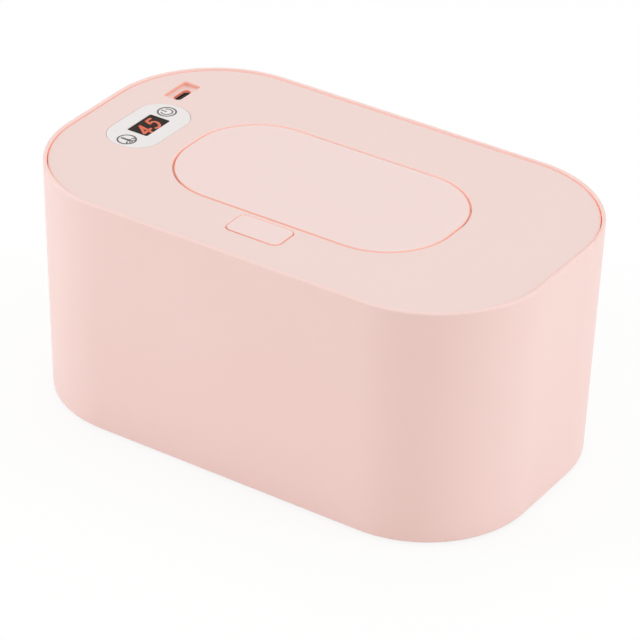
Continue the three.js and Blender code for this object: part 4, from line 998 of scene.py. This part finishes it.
def makeSymbols():
    power, warmth, fine = symbols["power"], symbols["warmth"], symbols["fine"]
    high, half, (stemLow, stemHigh) = panelTop + symbols["proud"], symbols["open"] / 2, symbols["stemEnds"]
    strokes = [stroke(arc(symbols["ring"], 0, 360, 48)[:-1], symbols["line"], high, origin, True)
               for origin in (power, warmth)]
    strokes += [
        stroke(arc(symbols["arc"], 90 + half, 450 - half, 28), fine, high, power),
        stroke([(0, 0), (0, symbols["bar"])], fine, high, power),
        stroke([(0, stemLow), (0, stemHigh)], symbols["stem"], high, warmth),
        dot(symbols["stem"] / 2, high, (0, stemHigh), warmth),
        dot(symbols["bulb"], high, (0, symbols["bulbAt"]), warmth)]
    for start, length, height, swing, cycles, steps in symbols["waves"]:
        wave = [(start + length * i / steps, height + swing * math.sin(2 * math.pi * cycles * i / steps))
                for i in range(steps + 1)]
        strokes.append(stroke(wave, fine, high, warmth))
    place(gather(strokes, "symbols"), "touchSymbols", "lid", [greyInk], "panel_white")


makePanel()
makeDigits()
makeSymbols()
print("button and display done")


# ---- power socket, set a little below the pocket's floor, so that the slot's pink edge shows
def makeSocket():
    low, high = heights("socket_shell")
    high -= socket["sunk"]
    wall, inside = socket["wall"], lidTop - pocket["depth"] - socket["inside"]
    tube = loft(socket, [[0, low], *roundHigh(high, 0.1, 0, 3)])
    cut(tube, loft(socket, [[wall, inside], *flaredMouth(high, 0.1, wall, 3)]))
    place(smooth(tube), "socketShell", "lid", [platedSteel], "steel", "socket_shell")


makeSocket()

# ---- wipe orifice, lid seal, tray, heating plate
orifice = {
    "lift": 0.3, "above": 1.2, "below": 8.4, "round": 0.5,
    "wall": ((4.3, "bottom", 0), (4.0, "bottom", 0.3), (0.3, "seat", -4.2)),
    # half length, half width, corner and height of the funnel's rings
    "funnel": ((22, 5.4, 5.39, "bottom", -1), (22, 5.4, 5.39, "bottom", 1.2),
               (22.4, 5.8, 5.79, "bottom", 1.8), (31.3, 9.8, 9.2, "seat", -4.6),
               (32.3, 10.8, 10.1, "seat", -4.0), (32.3, 10.8, 10.1, "top", -0.4),
               (32.7, 11.2, 10.5, "top", 0), (32.7, 11.2, 10.5, "top", 1)),
}
tray = {"inset": 9, "wall": 1.8, "flange": 1.6, "flangeInset": 2.3, "top": 94.1, "floorZ": 81.6, "floor": 1.8,
        "lip": 2.4, "draft": 0.5, "bevel": 0.3, "boss": 4.6, "head": (3.3, 2.4), "shank": 1.6, "sensor": 5.3,
        "leads": (4.5, -72.5), "chimneyWall": 1.8, "chimneyTop": 84.6,
        "socketRoom": (-1.5, 88.1, 95.1)}  # inset, lowest and highest
chimney = {"length": 78, "width": 35, "corner": 16.5, "x": 0.5, "y": -3.5, "steps": 16}
leadRadius = 0.7
seal = {"inner": 8.7, "outer": 4.3, "lip": ((0.2, 0.3), (0.7, 0))}  # the lip goes inward and up
plate = {"inset": 11.6, "edge": 0.25, "gap": 2.1}


def makeOrifice():
    seat = lid["collarTop"] + orifice["lift"]
    level = {"seat": seat, "top": seat + orifice["above"], "bottom": seat - orifice["below"]}
    body = loft(collar, [*[[inset, level[start] + up] for inset, start, up in orifice["wall"]],
                         [0.3, seat + sink]])
    add(body, loft(collar, [[-lid["collarWall"], seat],
                            *roundHigh(level["top"], orifice["round"], -lid["collarWall"], 4)]))
    cut(body, skin([outline({**collar, "length": 2 * halfX, "width": 2 * halfY, "corner": corner}, 0,
                            level[start] + up) for halfX, halfY, corner, start, up in orifice["funnel"]]))
    place(smooth(body), "wipeOrifice", "lid", [silicone], "silicone", "wipe_orifice")


def makeTray():
    floorZ, top, inset, draft = tray["floorZ"], tray["top"], tray["inset"], tray["draft"]
    low, inner, edge = floorZ - tray["lip"], inset + tray["wall"], tray["flangeInset"]
    headRadius, headDeep = tray["head"]
    leadsRadius, leadsX = tray["leads"]
    bevel, wall = tray["bevel"], tray["chimneyWall"]
    body = loft(tub, [[inset + draft + bevel, low], [inset + draft, low + bevel], [inset, top - sink]])
    add(body, slab(tub, edge, top - tray["flange"], top))
    cut(body, loft(tub, [[inner + draft, floorZ + tray["floor"]], [inner, top + 1]]),
        slab(tub, inner + draft, low - 1, floorZ))
    add(body, loft(chimney, [[bevel - wall, low], [-wall, low + bevel], [-wall, tray["chimneyTop"]]]),
        *[disc(tray["boss"], x, y, floorZ, top - tray["flange"] - sink) for x, y in centres["tray"]])
    holes = []
    for x, y in centres["tray"]:
        holes += [disc(headRadius, x, y, floorZ - 1, floorZ + headDeep),
                  disc(tray["shank"], x, y, floorZ, top, 5)]
    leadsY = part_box("heater_lead_live")[0].y / mm + leadRadius
    cut(body, slab(chimney, 0, low - 1, tray["chimneyTop"] + 1),
        disc(tray["sensor"], *middle("thermostat"), floorZ - 1, floorZ + 3),
        disc(leadsRadius, leadsX, leadsY, floorZ - 1, floorZ + 3),
        slab(socket, *tray["socketRoom"]), *holes)
    place(smooth(body), "lidTray", "lid", [binWhite], "bin_white", "lid_tray")


def makeSeal():
    low, high = heights("lid_seal")
    inner, outer = seal["inner"], seal["outer"]
    points = [[inner, low], [inner, high], [outer, high], [outer, (low + high) / 2],
              *[[outer + inward, low + up] for inward, up in seal["lip"]]]
    place(smooth(sweep(tub, points, silicone)), "lidSeal", "lid", [silicone], "silicone", "lid_seal")


def makePlate():
    low, high = heights("heating_plate")
    body = loft(tub, [[plate["inset"] + plate["edge"], low], [plate["inset"], low + plate["edge"]],
                      [plate["inset"], high]])
    cut(body, slab(chimney, -plate["gap"], low - 1, high + 1))
    place(smooth(body), "heatingPlate", "lid", [aluminium], "aluminium", "heating_plate")


makeOrifice()
makeTray()
makeSeal()
makePlate()
print("orifice, tray, seal and plate done")

# ---- springs and heater leads inside the lid; each coil has its turns, wire and axis
coils = {"latchSpring": ("latch_spring", 4, 0.4, "Y"), "touchSpringFront": ("touch_spring_front", 3, 0.5, "Z"),
         "touchSpringRear": ("touch_spring_rear", 3, 0.5, "Z")}
leads = {"heaterLeadLive": ("heater_lead_live", redLead, "lead_red"),
         "heaterLeadReturn": ("heater_lead_return", blackPlastic, "black_plastic")}


def makeCoil(name, node, turns, wire, axis):
    low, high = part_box(node)
    size = high - low
    across, along = (size.y, size.z) if axis == "Z" else (size.z, size.y)
    coil = grow(coilTree, {"Radius": (across - wire * mm) / 2, "Length": along - wire * mm * 1.2,
                           "Turns": turns, "Wire": wire * mm, "Finish": springSteel})
    if axis == "Y":
        coil.data.transform(Matrix.Rotation(-math.pi / 2, 4, "X"))
    points = [v.co for v in coil.data.vertices]
    centre = Vector([(min(p[i] for p in points) + max(p[i] for p in points)) / 2 for i in range(3)])
    coil.data.transform(Matrix.Translation((high + low) / 2 - centre))
    return place(smooth(coil, 50), name, "lid", [springSteel], "steel", node)


# From under the board at the box's rear, over to its front and down to the film
def makeLead(name, node, material, slot):
    low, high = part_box(node)
    x, lowZ, highZ = (low.x + high.x) / 2 / mm, low.z / mm, high.z / mm
    rear, front = high.y / mm - leadRadius, low.y / mm + leadRadius
    knots = [(rear, highZ), (rear, highZ - 1.5), ((rear + front) / 2, highZ - 3), (front, highZ - 6),
             (front, lowZ)]
    tubeAlong([(x, y, z) for y, z in smoothLine(knots, 8)], leadRadius, name, material, slot, node)


springs = {name: makeCoil(name, *values) for name, values in coils.items()}
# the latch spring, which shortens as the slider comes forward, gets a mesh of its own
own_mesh(springs["latchSpring"])
for name, values in leads.items():
    makeLead(name, *values)
print("springs and leads done")

# ---- solids that stay as they are, with their finishes
kept = {
    "heater_film": amberFilm, "thermostat": platedSteel, "control_board": boardGreen,
    "digit_module": blackPlastic, "socket_tongue": blackPlastic, "latch_keeper": nylon, "latch_slider": nylon,
}
for nodeName, material in kept.items():
    coat(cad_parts[nodeName], material)

# ---- floor, lamps and surroundings
# The lamps are a little cooler than the air around them, as softboxes are beside a lit white room
studio = {
    "floor": "F7F6F5", "floorGlow": 0.85, "floorSize": 9000, "floorDeep": 20, "air": 0.694,
    "airColour": (1, 0.932, 0.878), "lampColour": (0.755, 0.943, 1),
}
lamps = {
    # name: place and target in metres, size, power in watts
    "overhead": ((0.1, 0.2, 1.5), (0, 0, 0.1), (1.4, 1.2), 7.9),
    "leftFront": ((-1.08, -0.71, 0.5), (-0.02, 0, 0.06), (0.5, 0.8), 6.3),
    "rightRear": ((1.5, 0.45, 0.5), (0, 0, 0.06), (0.7, 0.9), 7.2),
}


# Matte paint that the camera, metal and glass see nearly white, and that keeps the object's shadow
def makeFloor():
    base = {"length": studio["floorSize"], "width": studio["floorSize"], "corner": 10, "steps": 2}
    floor = slab(base, 0, -studio["floorDeep"], 0)
    floor.name = "floor"
    material = bpy.data.materials.new("paintedFloor")
    tree = emptyTree(material)
    rays = addNode(tree, "ShaderNodeLightPath").outputs
    seen = rays["Is Camera Ray"]
    for ray in ("Is Glossy Ray", "Is Transmission Ray"):
        seen = addNode(tree, "ShaderNodeMath", {"operation": "MAXIMUM"}, {0: seen, 1: rays[ray]})
    share = addNode(tree, "ShaderNodeMath", {"operation": "MULTIPLY", 1: studio["floorGlow"]}, {0: seen})
    matte = addNode(tree, "ShaderNodeBsdfDiffuse", {"Color": linear(studio["floor"])})
    glow = addNode(tree, "ShaderNodeEmission", {"Color": (1, 1, 1, 1), "Strength": 1})
    mix = addNode(tree, "ShaderNodeMixShader", None, {0: share, 1: matte, 2: glow})
    addNode(tree, "ShaderNodeOutputMaterial", None, {"Surface": mix})
    coat(floor, material)


def makeWorld():
    world = bpy.data.worlds.new("studio")
    bpy.context.scene.world = world
    tree = emptyTree(world)
    rays = addNode(tree, "ShaderNodeLightPath").outputs
    air = [studio["air"] * part for part in studio["airColour"]] + [1]
    shade = addNode(tree, "ShaderNodeMix", {"data_type": "RGBA", 6: air, 7: (1, 1, 1, 1)},
                    {0: rays["Is Camera Ray"]})
    sky = addNode(tree, "ShaderNodeBackground", None, {"Color": shade})
    addNode(tree, "ShaderNodeOutputWorld", None, {"Surface": sky})


def makeLamps():
    for name, (where, target, size, power) in lamps.items():
        data = bpy.data.lights.new(name, "AREA")
        data.shape = "RECTANGLE"
        data.size, data.size_y = size
        data.energy = power
        data.color = studio["lampColour"]
        lamp = newPiece(name, data)
        lamp.location = where
        lamp.rotation_euler = (Vector(target) - Vector(where)).to_track_quat("-Z", "Y").to_euler()


makeFloor()
makeWorld()
makeLamps()
bpy.context.scene.view_settings.view_transform = "Standard"
print("studio done")
